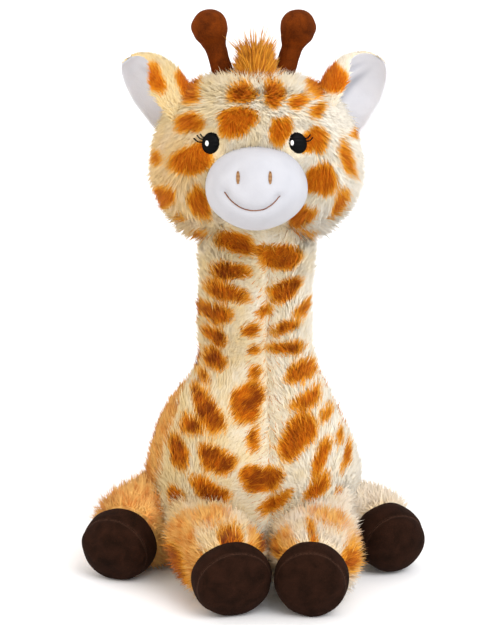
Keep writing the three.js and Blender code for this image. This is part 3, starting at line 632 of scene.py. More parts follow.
body = {"seatHalfWidth": 50, "seatHalfDepth": 45, "halfWidth": 74, "halfDepth": 66, "widestHeight": 46,
        "height": 135, "neckHalfWidth": 39.5, "neckHalfDepth": 38, "neckLength": 96, "pile": 5.6,
        "seamAt": 4.5, "seamDepth": 1.5, "leanStart": 108, "leanEnd": 152, "stuffingInset": 4, "sides": 120,
        "neckFurFrom": 132, "furTop": 238}
torsoFullShares = [(0, 1), (0.17, 1), (0.33, 0.94), (0.52, 0.76), (0.75, 0.48), (0.875, 0.27), (1, 0.11),
                   (1.16, 0.02)]
neckThickShares = [(0.32, 1), (0.62, 0.985), (0.9, 1.01), (1.15, 1.02)]


def bodyTables():
    rise = body["height"] - body["widestHeight"]
    tables = []
    for neckHalf, torsoHalf in ((body["neckHalfWidth"], body["halfWidth"]),
                                (body["neckHalfDepth"], body["halfDepth"])):
        rows = [(body["widestHeight"] + rise * up, mix(neckHalf, torsoHalf, full))
                for up, full in torsoFullShares]
        rows += [(body["height"] + body["neckLength"] * up, neckHalf * thick)
                 for up, thick in neckThickShares]
        tables.append(rows)
    return tables


def makeBodySkin():
    inset = body["pile"]
    widthTable, depthTable = bodyTables()
    turns = circleTurns(body["sides"])
    rows = [(share * (body["seatHalfWidth"] - inset), share * (body["seatHalfDepth"] - inset), 0.5)
            for share in (0.12, 0.3, 0.5, 0.7, 0.88)]
    for step in np.linspace(0, 1, 16)[:-1]:
        turn = step * math.pi / 2
        rows.append((mix(body["seatHalfWidth"], body["halfWidth"], math.sin(turn)) - inset,
                     mix(body["seatHalfDepth"], body["halfDepth"], math.sin(turn)) - inset,
                     0.5 + (body["widestHeight"] - 0.5) * (1 - math.cos(turn))))
    heights = np.arange(body["widestHeight"], body["height"] + body["neckLength"] + 16, 2.2)
    for height, wide, deep in zip(heights, readTable(widthTable, heights), readTable(depthTable, heights)):
        rows.append((wide - inset, deep - inset, height))
    rings = np.array([[(wide * math.cos(t), deep * math.sin(t), height) for t in turns]
                      for wide, deep, height in rows])
    skin = ringPiece("body_skin", rings, plushCloth)
    points = places(skin.data) / mm
    normals = normalsOf(skin.data)
    free = smoothStep(3, 30, points[:, 2]) * (1 - smoothStep(215, 235, points[:, 2]))
    front = smoothStep(5, -20, points[:, 1])
    across = points[:, 0] - body["seamAt"]
    valley = front * hill(across, 0, 5) * free
    flankSeam = hill(points[:, 1], 14, 3.5) * free * smoothStep(150, 120, points[:, 2])
    bulge = hill(points[:, 2], 88, 38)
    push = 1.0 * lumps(points, 46, 1) * free - body["seamDepth"] * valley - 0.8 * flankSeam
    points += normals * push[:, None]
    points[:, 0] -= 2.6 * bulge + 1.2 * bulge * (points[:, 0] < -30)
    points[:, 0] -= 3.5 * smoothStep(62, 36, points[:, 2]) * smoothStep(30, 60, points[:, 0])
    points[:, 2] = np.maximum(points[:, 2], 0.5)
    movePoints(skin, points)
    return skin


# Patches seen from the front: across, height, half width, half height, tilt, depth
bodyPatches = [(-15.3, 228.4, 15.4, 7.2, -8, -35), (13.4, 219.4, 17.8, 7.8, -5, -35),
               (-19.8, 210.6, 14.4, 6.9, 5, -33), (-22.4, 196.2, 16.2, 7.0, -12, -31),
               (17.0, 197.4, 13.8, 7.8, 12, -33), (-29.6, 181.4, 12.8, 7.2, -12, -25),
               (3.2, 184.0, 4.9, 4.6, 45, -37), (31.0, 183.0, 9.6, 4.8, 16, -25),
               (-5.3, 171.2, 7.2, 5.4, 8, -37), (17.4, 172.3, 12.6, 4.7, 8, -33),
               (-30.0, 165.6, 9.6, 6.6, -34, -25), (-3.6, 157.6, 4.4, 4.4, 0, -37),
               (18.6, 158.2, 14.8, 5.5, -2, -33), (-30.1, 150.0, 9.8, 7.0, -38, -26),
               (-2.7, 143.0, 4.8, 5.8, -15, -38), (29.0, 141.4, 14.0, 7.8, 12, -30),
               (-36.8, 137.4, 6.0, 3.8, -35, -22), (-8.4, 124.3, 11.7, 13.2, -5, -44),
               (-34.6, 117.6, 8.6, 15.4, 28, -32), (-46.6, 108.2, 8.1, 7.0, 0, -28),
               (-55.4, 89.3, 7.2, 11.2, 0, -32), (-30.1, 88.5, 13.1, 9.7, -12, -53),
               (-4.9, 101.5, 5.3, 8.0, 10, -54), (31.6, 123.6, 13.4, 6.4, 18, -34),
               (45.8, 112.0, 7.3, 4.7, 20, -28), (23.4, 101.8, 19.1, 10.2, 40, -50),
               (55.6, 95.8, 3.8, 6.2, 5, -27), (40.0, 86.4, 14.4, 5.8, 55, -48),
               (61.3, 82.5, 5.0, 8.2, -12, -26), (55.8, 74.4, 2.9, 2.7, 0, -38),
               (-1.7, 76.7, 13.2, 10.6, -5, -64), (-34.8, 67.3, 17.0, 7.3, -25, -56),
               (-57.7, 57.8, 6.8, 9.6, 8, -40), (36.8, 67.3, 13.7, 6.0, 32, -55),
               (7.5, 60.3, 13.0, 5.2, 30, -65), (53.2, 60.5, 3.9, 4.1, 0, -45)]
frontAcross, frontUp = np.array([1.0, 0, 0]), np.array([0, 0, 1.0])


def frontPatches(table):
    return [(np.array([x, y, z]), frontAcross, frontUp, wide, tall, tilt)
            for x, z, wide, tall, tilt, y in table]


def bodyComb(points):  # the pile lies upwards, and inwards to the seam in front
    across = points[:, 0] - body["seamAt"]
    front = smoothStep(12, -22, points[:, 1])
    inwards = -np.sign(across) * smoothStep(0, 14, np.abs(across)) * front
    comb = np.zeros_like(points)
    comb[:, 2] = 1 - 0.35 * np.abs(inwards) * smoothStep(40, 10, np.abs(across))
    comb[:, 0] = inwards * mix(0.75, 1.15, smoothStep(40, 10, np.abs(across)))
    behind = smoothStep(-10, 25, points[:, 1])
    comb[:, 0] -= 0.35 * np.sign(points[:, 0]) * smoothStep(0, 20, np.abs(points[:, 0])) * behind
    chin = smoothStep(212, 226, points[:, 2])
    comb[:, 2] -= 1.1 * chin
    # well brushed beside the seam
    return comb * (1 + 0.9 * front * smoothStep(26, 8, np.abs(across)))[:, None]


bodySkin = makeBodySkin()
bodyPoints = places(bodySkin.data) / mm
bodyNormals = normalsOf(bodySkin.data)
bodyBehind = (bodyPoints[:, 1] > 4) & (bodyPoints[:, 2] > 14) & (bodyPoints[:, 2] < 226)
bodyPaint = frontPatches(bodyPatches)
bodyPaint += scatterPatches(bodyPoints, bodyNormals, bodyBehind, 25, ((8, 14), (6, 11)), bodyPaint, 3)
setAttributes(bodySkin.data, comb=bodyComb(bodyPoints))


def bodyFlank(points):  # the back panel is tan all over, up to the shoulders
    x, y, z = points.T
    edge = np.where(x < 0, mix(-26, 8, smoothStep(105, 142, z)), 12) + 1.5 * np.sin(z / 7)
    return smoothStep(edge - 4, edge + 4, y) * smoothStep(160, 135, z)


# colours each strand by the place that its outer part covers
def paintBy(patches, flank=None, toLocal=None, seenAt=0.62, strays=None):
    def paint(fur):
        rng = np.random.default_rng(seed + 77)
        mesh = fur.data
        roots = places(mesh, "root")[::strandPoints] / mm
        reached = places(mesh)[3::strandPoints] / mm - roots
        shaken = roots + rng.normal(size=roots.shape) * 0.4
        ends = [shaken + (seenAt + off) * reached for off in (-0.28, 0.22)]
        ends = [toLocal(end) if toLocal else end for end in ends]
        local = ends[1]
        levels = [patchLevel(end, patches) for end in ends]
        if strays:
            stray = rng.random(len(local)) < strays(local)
            levels = [np.where(stray, np.maximum(level, 0.6), level) for level in levels]
        setAttributes(mesh, patch=np.stack([levels[0]] * 3 + [levels[1]], -1).ravel(),
                      flank=np.repeat(flank(local) if flank else np.zeros(len(local)), strandPoints))
    return paint


def paintSkin(skin, patches, flank=None, toLocal=None):
    points = places(skin.data) / mm
    local = toLocal(points) if toLocal else points
    # the skin under the strands carries part of the painted root shade (along 0.6)
    setAttributes(skin.data, patch=patchLevel(local, patches),
                  flank=flank(local) if flank else np.zeros(len(local)),
                  tone=np.full(len(points), 0.5), along=np.full(len(points), 0.6))


def seamStrays(points):  # the share of brown hairs among the cream, along the front seam
    return 0.1 * hill(points[:, 0], body["seamAt"], 8) * (points[:, 1] < 0) * (points[:, 2] < 215)


furLook = {"density": 2.2, "lean": 8.2, "lift": 5.2, "width": 1.0, "clump": 6.5, "clumping": 0.5,
           "spread": 0.3, "softness": 0.75}
underHead = smoothStep(214, 232, bodyPoints[:, 2])
besideSeam = hill(bodyPoints[:, 0], body["seamAt"], 5) * (bodyPoints[:, 1] < 0)
overHem = mix(0.6, 1, smoothStep(2, 16, bodyPoints[:, 2]))
setAttributes(bodySkin.data, reach=(1 - 0.35 * besideSeam) * (1 - 0.35 * underHead) * overHem,
              stand=1 - 0.4 * besideSeam)
bodyThick = smoothStep(1.5, 5, bodyPoints[:, 2]) * (bodyPoints[:, 2] < body["furTop"])
ofNeck, inFrontHalf = bodyPoints[:, 2] >= body["neckFurFrom"], bodyPoints[:, 1] < 0
bodyParts = {"torso_fur_front": ~ofNeck & inFrontHalf, "torso_fur_back": ~ofNeck & ~inFrontHalf,
             "neck_fur": ofNeck}
bodyFurs = []
paintSkin(bodySkin, bodyPaint, bodyFlank)
for order, (name, region) in enumerate(bodyParts.items()):
    bodyFurs.append(growPile(name, bodySkin, bodyThick * region, furLook, plushCloth, 20 + order,
                             paintBy(bodyPaint, bodyFlank, None, 0.8, seamStrays)))


# one stuffing for torso and neck, hollow underneath for the bean pouch, with the same faces as the skin
def makeBodyWadding():
    points = bodyPoints - bodyNormals * body["stuffingInset"]
    points[:, 2] = np.maximum(points[:, 2], 4.5)
    bag = np.array([v.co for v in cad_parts["bean_bag"].data.vertices]) / mm
    low, high = bag.min(0), bag.max(0)
    sides, room = body["sides"], 1.2
    halfWide, halfDeep = (high - low)[:2] / 2 + room
    turns = circleTurns(sides)
    for row, (share, height) in enumerate([(0.3, room), (0.7, room), (1, room), (1, -9),
                                           (1.01, 4.6 - high[2])]):
        points[row * sides:(row + 1) * sides] = np.stack([halfWide * share * np.cos(turns),
                                                          halfDeep * share * np.sin(turns),
                                                          np.full(sides, high[2] + height)], -1)
    points[-2] = (0, 0, high[2] + room)
    return meshPiece("body_wadding", points, [tuple(p.vertices) for p in bodySkin.data.polygons], wadding)


bodyWadding = makeBodyWadding()
print("torso and neck made")


# Head, in its own frame: the origin in its middle, facing -Y, then turned a little

head = {"halfWidth": 71, "halfDepth": 57, "height": 108, "middle": 285, "turned": -4.5, "pile": 6.2}
headWideShares = [(-1, 1.2), (-0.6, 1.12), (-0.25, 1.06), (0, 1), (0.35, 0.98), (1, 1)]
headSquareShare = 0.84
headTurn = math.radians(head["turned"])
headSpin = np.array([[math.cos(headTurn), -math.sin(headTurn), 0],
                     [math.sin(headTurn), math.cos(headTurn), 0],
                     [0, 0, 1]])


def fromHead(points):
    points = np.asarray(points, float)
    return (points.reshape(-1, 3) @ headSpin.T + (0, 0, head["middle"])).reshape(points.shape)


def toHead(points):
    return (np.asarray(points, float) - (0, 0, head["middle"])) @ headSpin


def headPoint(latitude, turn, offset=0.0):  # latitude in quarter turns, turn in degrees from +X
    wide = np.interp(latitude, *np.array(headWideShares).T)
    lean = math.pi / 2 * latitude
    level = np.maximum(0, np.cos(lean)) ** headSquareShare
    squared = (1 + headSquareShare) / 2
    c, s = np.cos(np.radians(turn)), np.sin(np.radians(turn))
    return np.stack([(head["halfWidth"] * wide + offset) * level * np.sign(c) * np.abs(c) ** squared,
                     (head["halfDepth"] + offset) * level * np.sign(s) * np.abs(s) ** squared,
                     (head["height"] / 2 + offset) * np.sign(lean)
                     * np.abs(np.sin(lean)) ** headSquareShare], -1)


def nearEars(local, width):  # 1 where the ears are sewn on
    aside, up = np.abs(local[:, 0]) - 56, local[:, 2] - 24
    return np.exp(-((aside / width) ** 2 + (up / width) ** 2))


def makeHeadSkin():
    sides, rows = 150, 90
    turns = np.linspace(0, 360, sides, endpoint=False)
    latitudes = np.linspace(-0.985, 0.985, rows)
    rings = np.array([headPoint(np.full(sides, latitude), turns, -head["pile"]) for latitude in latitudes])
    skin = ringPiece("head_skin_plush", fromHead(rings), plushCloth)
    smooth = skin.modifiers.new("smooth", "SMOOTH")
    smooth.iterations = 6
    smooth.factor = 0.5
    graph = bpy.context.evaluated_depsgraph_get()
    skin.data = bpy.data.meshes.new_from_object(skin.evaluated_get(graph))
    skin.modifiers.clear()
    points = places(skin.data) / mm
    local = toHead(points)
    brow = smoothStep(38, 12, np.abs(local[:, 0])) * hill(local[:, 2], 24, 14) * (local[:, 1] < 0)
    cheeks = hill(np.abs(local[:, 0]), 46, 20) * hill(local[:, 2], -14, 20) * (local[:, 1] < 0)
    earRoots = nearEars(local, 15) * smoothStep(8, -6, local[:, 1])
    push = 0.7 * lumps(points, 50, 2) + 0.8 * brow + 1.2 * cheeks - 1.6 * earRoots
    movePoints(skin, points + normalsOf(skin.data) * push[:, None])
    return skin


headPatches = [(-9.7, 42.6, 10.4, 6.6, 15, -37.5), (11.7, 42.0, 8.0, 8.2, -15, -38),
               (27.5, 37.0, 6.9, 5.2, 30, -40.1), (40.3, 31.2, 6.2, 4.8, 35, -38.8),
               (-12.8, 25.1, 13.4, 10.1, 3, -51.5), (15.6, 19.4, 7.5, 10.4, -12, -53.1),
               (-43.7, 23.1, 10.2, 7.3, 15, -41.4), (-41.9, 0.1, 15.9, 10.4, 15, -47.1),
               (-37.2, -29.3, 7.2, 13.7, 20, -43.4), (-61.9, -27.6, 9.3, 8.9, 25, -23.2),
               (37.9, 12.4, 9.0, 9.7, -10, -47.6), (42.1, -13.3, 10.8, 12.1, -8, -46.1),
               (60.2, -1.7, 4.6, 15.6, 18, -30), (55.4, -31.4, 5.6, 12.0, -22, -27),
               (67, 13, 5, 3.5, 0, -14), (29.7, -39.3, 10.1, 7.9, 45, -38.4),
               (-66.7, -1.8, 4.2, 6.5, 0, -21.0), (-45, 46, 9, 12, 10, -10), (45, 49, 13, 10, 25, -10),
               (-51.0, -42.0, 4.6, 3.6, 30, -26.0), (-38, -54, 7, 5, -10, -22), (30, -54, 11, 5, 6, -26),
               (-14, -54, 12, 6, 0, -30)]
muzzle = {"halfWidth": 33.2, "halfHeight": 27.4, "reach": 36, "drop": 17, "setBack": 8}
eye = {"halfWidth": 5.75, "halfHeight": 7.15, "bulge": 3.0,
       "places": {"right": (-29.4, 11.1), "left": (26.8, 11.4)}, "tilt": {"right": -18, "left": 26}}


def headComb(local):  # down the brow, in towards the muzzle on the cheeks, outwards and down on the jaw
    x, y, z = local.T
    front = smoothStep(10, -25, y)
    comb = np.zeros_like(local)
    comb[:, 2] = -1
    outer = front * smoothStep(42, 60, np.abs(x))
    comb[:, 0] += np.sign(x) * 1.0 * outer
    cheek = front * smoothStep(14, -6, z) * smoothStep(-50, -30, z) * (1 - outer)
    comb[:, 0] -= np.sign(x) * 0.9 * cheek
    comb[:, 2] += 0.35 * cheek
    brow = front * smoothStep(8, 30, z)
    comb[:, 0] += np.sign(x) * 0.35 * brow * smoothStep(6, 30, np.abs(x))
    jaw = smoothStep(-22, -40, z)
    outwards = unit(np.stack([x, y * 0.5, 0 * z], -1))
    comb += outwards * (0.9 * jaw)[:, None]
    crown = smoothStep(40, 52, z)
    comb[:, :2] += unit(local[:, :2]) * (0.9 * crown)[:, None]
    # white tufts stand up before the forelock
    tuft = smoothStep(42, 47, z) * smoothStep(4, -8, y) * smoothStep(44, 26, np.abs(x))
    comb[:, 2] += 2.4 * tuft
    comb[:, 1] += 1.0 * tuft
    return comb


headSkin = makeHeadSkin()
headPoints = places(headSkin.data) / mm
headLocal = toHead(headPoints)
headNormals = normalsOf(headSkin.data)
localNormals = headNormals @ headSpin
headBehind = (headLocal[:, 1] > -2) & (np.abs(headLocal[:, 2] - 2) < 44)
headPaint = frontPatches(headPatches)
headPaint += scatterPatches(headLocal, localNormals, headBehind, 27, ((9, 15), (8, 13)), headPaint, 5)
setAttributes(headSkin.data, comb=headComb(headLocal) @ headSpin.T)


def muzzleAway(x, z):  # 1 on the muzzle's edge as seen from the front
    return np.hypot(x / (muzzle["halfWidth"] - 0.5), (z + muzzle["drop"]) / (muzzle["halfHeight"] - 0.5))


inFront = headLocal[:, 1] < -20
around = muzzleAway(headLocal[:, 0], headLocal[:, 2])
headThick = np.where(inFront, smoothStep(0.93, 0.99, around), 1)
headReach = np.ones(len(headLocal))
headReach = np.where(inFront, headReach * mix(0.55, 1, smoothStep(1.0, 1.35, around)), headReach)
for x, z in eye["places"].values():
    close = np.hypot((headLocal[:, 0] - x) / eye["halfWidth"], (headLocal[:, 2] - z) / eye["halfHeight"])
    headThick = np.where(inFront & (close < 1.08), 0, headThick)
    above = np.hypot((headLocal[:, 0] - x) / eye["halfWidth"],
                     (headLocal[:, 2] - z - 2.5) / eye["halfHeight"])
    headReach = np.where(inFront, headReach * mix(0.2, 1, smoothStep(1.05, 2.3, np.minimum(close, above))),
                         headReach)
headReach *= 1 + 0.4 * smoothStep(-22, -44, headLocal[:, 2])
headReach *= 1 - 0.3 * nearEars(headLocal, 13) * (headLocal[:, 1] < 6)
crown = smoothStep(34, 48, headLocal[:, 2])
jaw = smoothStep(-36, -48, headLocal[:, 2]) * smoothStep(14, 30, np.abs(headLocal[:, 0]))
setAttributes(headSkin.data, reach=headReach, stand=1 + 0.5 * crown + 0.9 * jaw, trail=1 - 0.55 * crown)


def headFlank(local):  # the viewer's left cheek is a little tan
    atCheek, below = smoothStep(-15, -45, local[:, 0]), smoothStep(30, 0, local[:, 2])
    return 0.28 * atCheek * below * smoothStep(10, -10, local[:, 1])


# paleRoots: less painted shade at the strand roots on the head
headLook = dict(furLook, density=2.3, lean=8.0, lift=5.0, clumping=0.38, paleRoots=0.4)
paintSkin(headSkin, headPaint, headFlank, toHead)
headFurs = []
for order, (name, region) in enumerate({"head_fur_front": headLocal[:, 1] < -8,
                                        "head_fur_back": headLocal[:, 1] >= -8}.items()):
    headFurs.append(growPile(name, headSkin, headThick * region, headLook, plushCloth, 30 + order,
                             paintBy(headPaint, headFlank, toHead)))
print("head made")


# Muzzle: a short-pile cap sewn over the face, with its nostrils and smile drawn in by the embroidery

face = {"nostrils": [(-11.6, -6.8), (8.6, -6.8)], "nostrilHalf": (1.0, 3.6), "stitch": 1.5,
        "smileWidth": 0.7, "smile": [(-19.7, -16.8), (-17.2, -20), (-13, -23.6), (-8, -26.3), (-2, -27.4),
                                     (3.8, -26.7), (8.4, -24.4), (11.8, -21.5), (14.3, -18.7)]}


def shapeAlong(points, spacing):  # a smooth line through given points, at even steps
    points = np.asarray(points, float)
    steps = np.concatenate([[0], np.cumsum(np.linalg.norm(np.diff(points, axis=0), axis=1))])
    fine = np.linspace(0, steps[-1], 200)
    line = np.stack([readTable(list(zip(steps, points[:, axis])), fine)
                     for axis in range(points.shape[1])], -1)
    run = np.concatenate([[0], np.cumsum(np.linalg.norm(np.diff(line, axis=0), axis=1))])
    count = max(2, int(round(run[-1] / spacing)) + 1)
    even = np.linspace(0, run[-1], count)
    return np.stack([np.interp(even, run, line[:, axis]) for axis in range(points.shape[1])], -1)


smileLine = shapeAlong(face["smile"], 0.8)


def makeMuzzle():
    sides, rows = 128, 64
    turns = circleTurns(sides)
    rings = []
    for lean in np.radians(np.linspace(-38, 89, rows)):
        full = math.cos(lean) ** 0.9
        rings.append([(muzzle["halfWidth"] * full * math.cos(t),
                       -(head["halfDepth"] - muzzle["setBack"]) - muzzle["reach"] * math.sin(lean),
                       -muzzle["drop"] + muzzle["halfHeight"] * full * math.sin(t)) for t in turns])
    piece = ringPiece("muzzle_plush", fromHead(rings), minky)
    points = places(piece.data) / mm
    local = toHead(points)
    smileAway = np.min(np.hypot(local[:, None, 0] - smileLine[None, :, 0],
                                local[:, None, 2] - smileLine[None, :, 1]), axis=1)
    push = -1.1 * hill(smileAway, 0, 2.2) + 0.5 * hill(smileAway, 6, 4)
    for x, z in face["nostrils"]:
        away = np.hypot((local[:, 0] - x) / 3.4, (local[:, 2] - z) / 6.2)
        push -= 1.3 * hill(away, 0, 1)
    for x, z in (face["smile"][0], face["smile"][-1]):
        push -= 0.8 * hill(np.hypot(local[:, 0] - x, local[:, 2] - z), 0, 3)
    push = (push + 0.45 * lumps(local, 26, 6)) * smoothStep(-44, -56, local[:, 1])
    movePoints(piece, points + normalsOf(piece.data) * push[:, None])
    return piece


muzzlePiece = makeMuzzle()


def surfaceOf(piece):
    return BVHTree.FromPolygons([v.co.copy() for v in piece.data.vertices],
                                [tuple(p.vertices) for p in piece.data.polygons])


headSurface = surfaceOf(headSkin)
muzzleSurface = surfaceOf(muzzlePiece)
headForward = Vector(headSpin @ np.array([0, 1.0, 0]))


def onFace(surface, x, z):  # the place and normal on a surface, straight in from the front of the head
    start = Vector(fromHead([x, -200.0, z]) * mm)
    place, normal = surface.ray_cast(start, headForward)[:2]
    if normal.dot(headForward) > 0:
        normal = -normal
    return np.array(place) / mm, np.array(normal)


def stitchTree():  # stitches laid end to end along a line
    tree, given = openTree("stitches", (("Stitch", "Object"), ("Thread", "Material"), ("Spacing", "Float"),
                                        ("Length", "Float"), ("Width", "Float"), ("Seed", "Int")))
    run = addNode(tree, "GeometryNodeCurveToPoints", {"Curve": given["Geometry"], "Length": given["Spacing"]},
                  mode="LENGTH")
    turned = addNode(tree, "FunctionNodeAlignRotationToVector", {"Vector": run.outputs["Tangent"]}, axis="X")
    vary = addNode(tree, "FunctionNodeRandomValue", {2: 0.9, 3: 1.1, "Seed": given["Seed"]},
                   data_type="FLOAT")
    wide = addNode(tree, "Math MULTIPLY", (given["Width"], vary))
    size = addNode(tree, "CombineXYZ", (given["Length"], wide, wide))
    stitch = addNode(tree, "GeometryNodeObjectInfo", [given["Stitch"]]).outputs["Geometry"]
    laid = addNode(tree, "GeometryNodeInstanceOnPoints",
                   {"Points": run, "Instance": stitch, "Rotation": turned, "Scale": size})
    return closeTree(tree, laid, given["Thread"])


def stitchMesh():  # one stitch, a spindle of unit length
    rings = []
    for x in (-0.47, -0.3, 0, 0.3, 0.47):
        radius = 0.5 * math.sqrt(1 - (2 * x) ** 2) ** 0.8
        rings.append([(x, radius * math.cos(t), radius * math.sin(t))
                      for t in circleTurns(8)])
    return ringPiece("stitch", np.array(rings) / mm, mouthThread)


stitchShape = stitchMesh()
stitches = stitchTree()


def sewLine(name, lines, spacing, length, width, thread, seedShift=0):
    data = bpy.data.curves.new(name, "CURVE")
    data.dimensions = "3D"
    for line in lines:
        spline = data.splines.new("POLY")
        spline.points.add(len(line) - 1)
        spline.points.foreach_set("co", np.concatenate([np.asarray(line) * mm, np.ones((len(line), 1))],
                                                       1).ravel())
    values = {"Stitch": stitchShape, "Thread": thread, "Spacing": spacing * mm, "Length": length * mm,
              "Width": width * mm, "Seed": seed + seedShift}
    return grow(name, addObject(name + "_path", data), stitches, values)


# a line that stands off the cloth by one height, or by one for each point
def faceLine(surface, points, lifts):
    line = []
    for (x, z), lift in zip(points, np.broadcast_to(lifts, len(points))):
        place, normal = onFace(surface, x, z)
        line.append(place + normal * lift)
    return line


# a raised satin-stitched oval that follows the cloth
def padOn(name, surface, x, z, halfAcross, halfUp, tilt, bulge, thread, sink=0.3):
    rings, sides = 12, 48
    c, s = math.cos(math.radians(tilt)), math.sin(math.radians(tilt))
    outer, inner = [], []
    for ring in range(1, rings + 1):
        share = ring / rings
        high = bulge * (1 - share ** 2.4) ** 0.6 if share < 1 else 0
        for side in range(sides):
            turn = 2 * math.pi * side / sides
            a, b = share * halfAcross * math.cos(turn), share * halfUp * math.sin(turn)
            place, normal = onFace(surface, x + a * c - b * s, z + a * s + b * c)
            rib = 0.06 * math.cos(2 * math.pi * b / 0.9) * (share < 0.95)
            outer.append(place + normal * (high + rib))
            inner.append(place - normal * sink)
    middle, normal = onFace(surface, x, z)
    points = outer + inner + [middle + normal * bulge, middle - normal * sink]
    count = rings * sides
    faces = (ringFaces(rings, sides) + [tuple(count + i for i in reversed(face))
                                        for face in ringFaces(rings, sides)])
    for side in range(sides):
        after = (side + 1) % sides
        faces += [(2 * count, side, after), (2 * count + 1, count + after, count + side)]
        edge = (rings - 1) * sides
        faces.append((edge + side, count + edge + side, count + edge + after, edge + after))
    return meshPiece(name, points, faces, thread)


facePieces = [sewLine("smile_stitches", [faceLine(muzzleSurface, smileLine, 0.25)], face["stitch"] * 0.6,
                      face["stitch"] * 1.5, face["smileWidth"], mouthThread)]
for name, (x, z) in zip(("right", "left"), face["nostrils"]):
    wide, tall = face["nostrilHalf"]
    facePieces.append(padOn(f"nostril_{name}_fill", muzzleSurface, x, z, wide, tall, 0, 0.5, nostrilThread))
    rim = [(x + wide * math.cos(t), z + tall * math.sin(t)) for t in np.linspace(0, 2 * math.pi, 40)]
    facePieces.append(sewLine(f"nostril_{name}_rim", [faceLine(muzzleSurface, rim, 0.3)], 0.8, 1.6, 0.45,
                              nostrilThread, 1))

eyePieces = {}
lashes = {"right": [((-4.6, 0.2), (-9.0, 1.8)), ((-4.0, 2.0), (-7.0, 3.8)), ((-3.2, 3.4), (-5.0, 4.6))],
          "left": [((4.8, 0.8), (7.8, 2.4)), ((3.9, 2.6), (6.2, 4.2))]}
glints = {"right": (-2.5, 0.2), "left": (-3.8, 0.5)}
for name, (x, z) in eye["places"].items():
    ball = padOn(f"eye_{name}_satin", headSurface, x, z, eye["halfWidth"], eye["halfHeight"],
                 eye["tilt"][name], eye["bulge"], eyeThread, 0.6)
    eyePieces[name] = ball
    eyeSurface = surfaceOf(ball)
    dx, dz = glints[name]
    facePieces.append(padOn(f"eye_{name}_glint", eyeSurface, x + dx, z + dz, 1.1, 1.75, 0, 0.35, glintThread))
    lines = []
    for start, end in lashes[name]:
        bend = ((start[0] + end[0]) / 2, (start[1] + end[1]) / 2 - 0.8)
        points = shapeAlong([(x + a, z + b) for a, b in (start, bend, end)], 0.5)
        lines.append(faceLine(headSurface, points, np.linspace(1.4, 3.6, len(points))))
    facePieces.append(sewLine(f"eye_{name}_lashes", lines, 0.5, 1.3, 1.0, eyeThread, 2))
print("face made")


# Ears: a cup of plush with a minky lining, pinched where it meets the head

ear = {"length": {"left": 55.5, "right": 57}, "radius": 24, "rootAcross": 53.5, "rootRise": 15.5,
       "upright": {"left": 60, "right": 54}, "twist": {"left": 22, "right": 38},
       "upper": {"left": (128, 74), "right": (132, 78)}, "lower": 70, "thin": 0.5, "backInset": (1.6, 3.2),
       "liningInset": (3.4, 4.8), "liningShort": (0.012, 0.02), "liningPast": 0.045, "fold": 4.6,
       "rows": 36, "columns": 40, "from": -0.12, "to": 0.985}
earWideShares = [(-0.3, 0.85), (0, 0.9), (0.22, 1), (0.48, 1), (0.72, 0.87), (0.88, 0.66), (0.95, 0.48),
                 (0.985, 0.29)]


def foldShare(share, up):  # the lining is pinched into a fold that starts at its root
    return hill(share, mix(0.5, 0.4, up), 0.045) * smoothStep(0.9, 0.55, up)


def earGrid(side, inset, low=0.0, high=0.0):
    name = sideNames[side]
    upright, twist = math.radians(ear["upright"][name]), math.radians(ear["twist"][name])
    along = np.array([math.cos(upright), 0, math.sin(upright)])
    level = np.array([along[2], 0, -along[0]])
    opening = np.array([0, -1.0, 0]) * math.cos(twist) + level * math.sin(twist)
    across = np.cross(opening, along)
    root = np.array([ear["rootAcross"], 0, ear["rootRise"]], float)
    grid = np.zeros((ear["rows"], ear["columns"], 3))
    for row, up in enumerate(np.linspace(ear["from"], ear["to"], ear["rows"])):
        wide = float(readTable(earWideShares, up))
        radius = ear["radius"] * wide - inset * mix(1, ear["thin"], max(0, up))
        upper = mix(*ear["upper"][name], float(smoothStep(0.5, 0.97, up)))
        for column, share in enumerate(np.linspace(low, 1 - high, ear["columns"])):
            turn = math.radians(mix(-ear["lower"], upper, share))
            ridge = ear["fold"] * foldShare(share, up) * (inset >= ear["liningInset"][0])
            grid[row, column] = (root + along * (ear["length"][name] * up)
                                 + across * (radius * math.sin(turn))
                                 - opening * ((radius - ridge) * math.cos(turn)))
    grid[..., 0] *= side
    return fromHead(grid)


def cutSize(outer, inner):  # width, length and area of the flat cloth that a cup is sewn from, in metres
    middle = (outer + inner) / 2 * mm
    acrossSteps, alongSteps = np.diff(middle, axis=1), np.diff(middle, axis=0)
    width = np.linalg.norm(acrossSteps, axis=2).sum(1).max()
    length = np.linalg.norm(alongSteps, axis=2).sum(0).max()
    return (width, length), np.linalg.norm(np.cross(acrossSteps[:-1], alongSteps[:, :-1]), axis=2).sum()


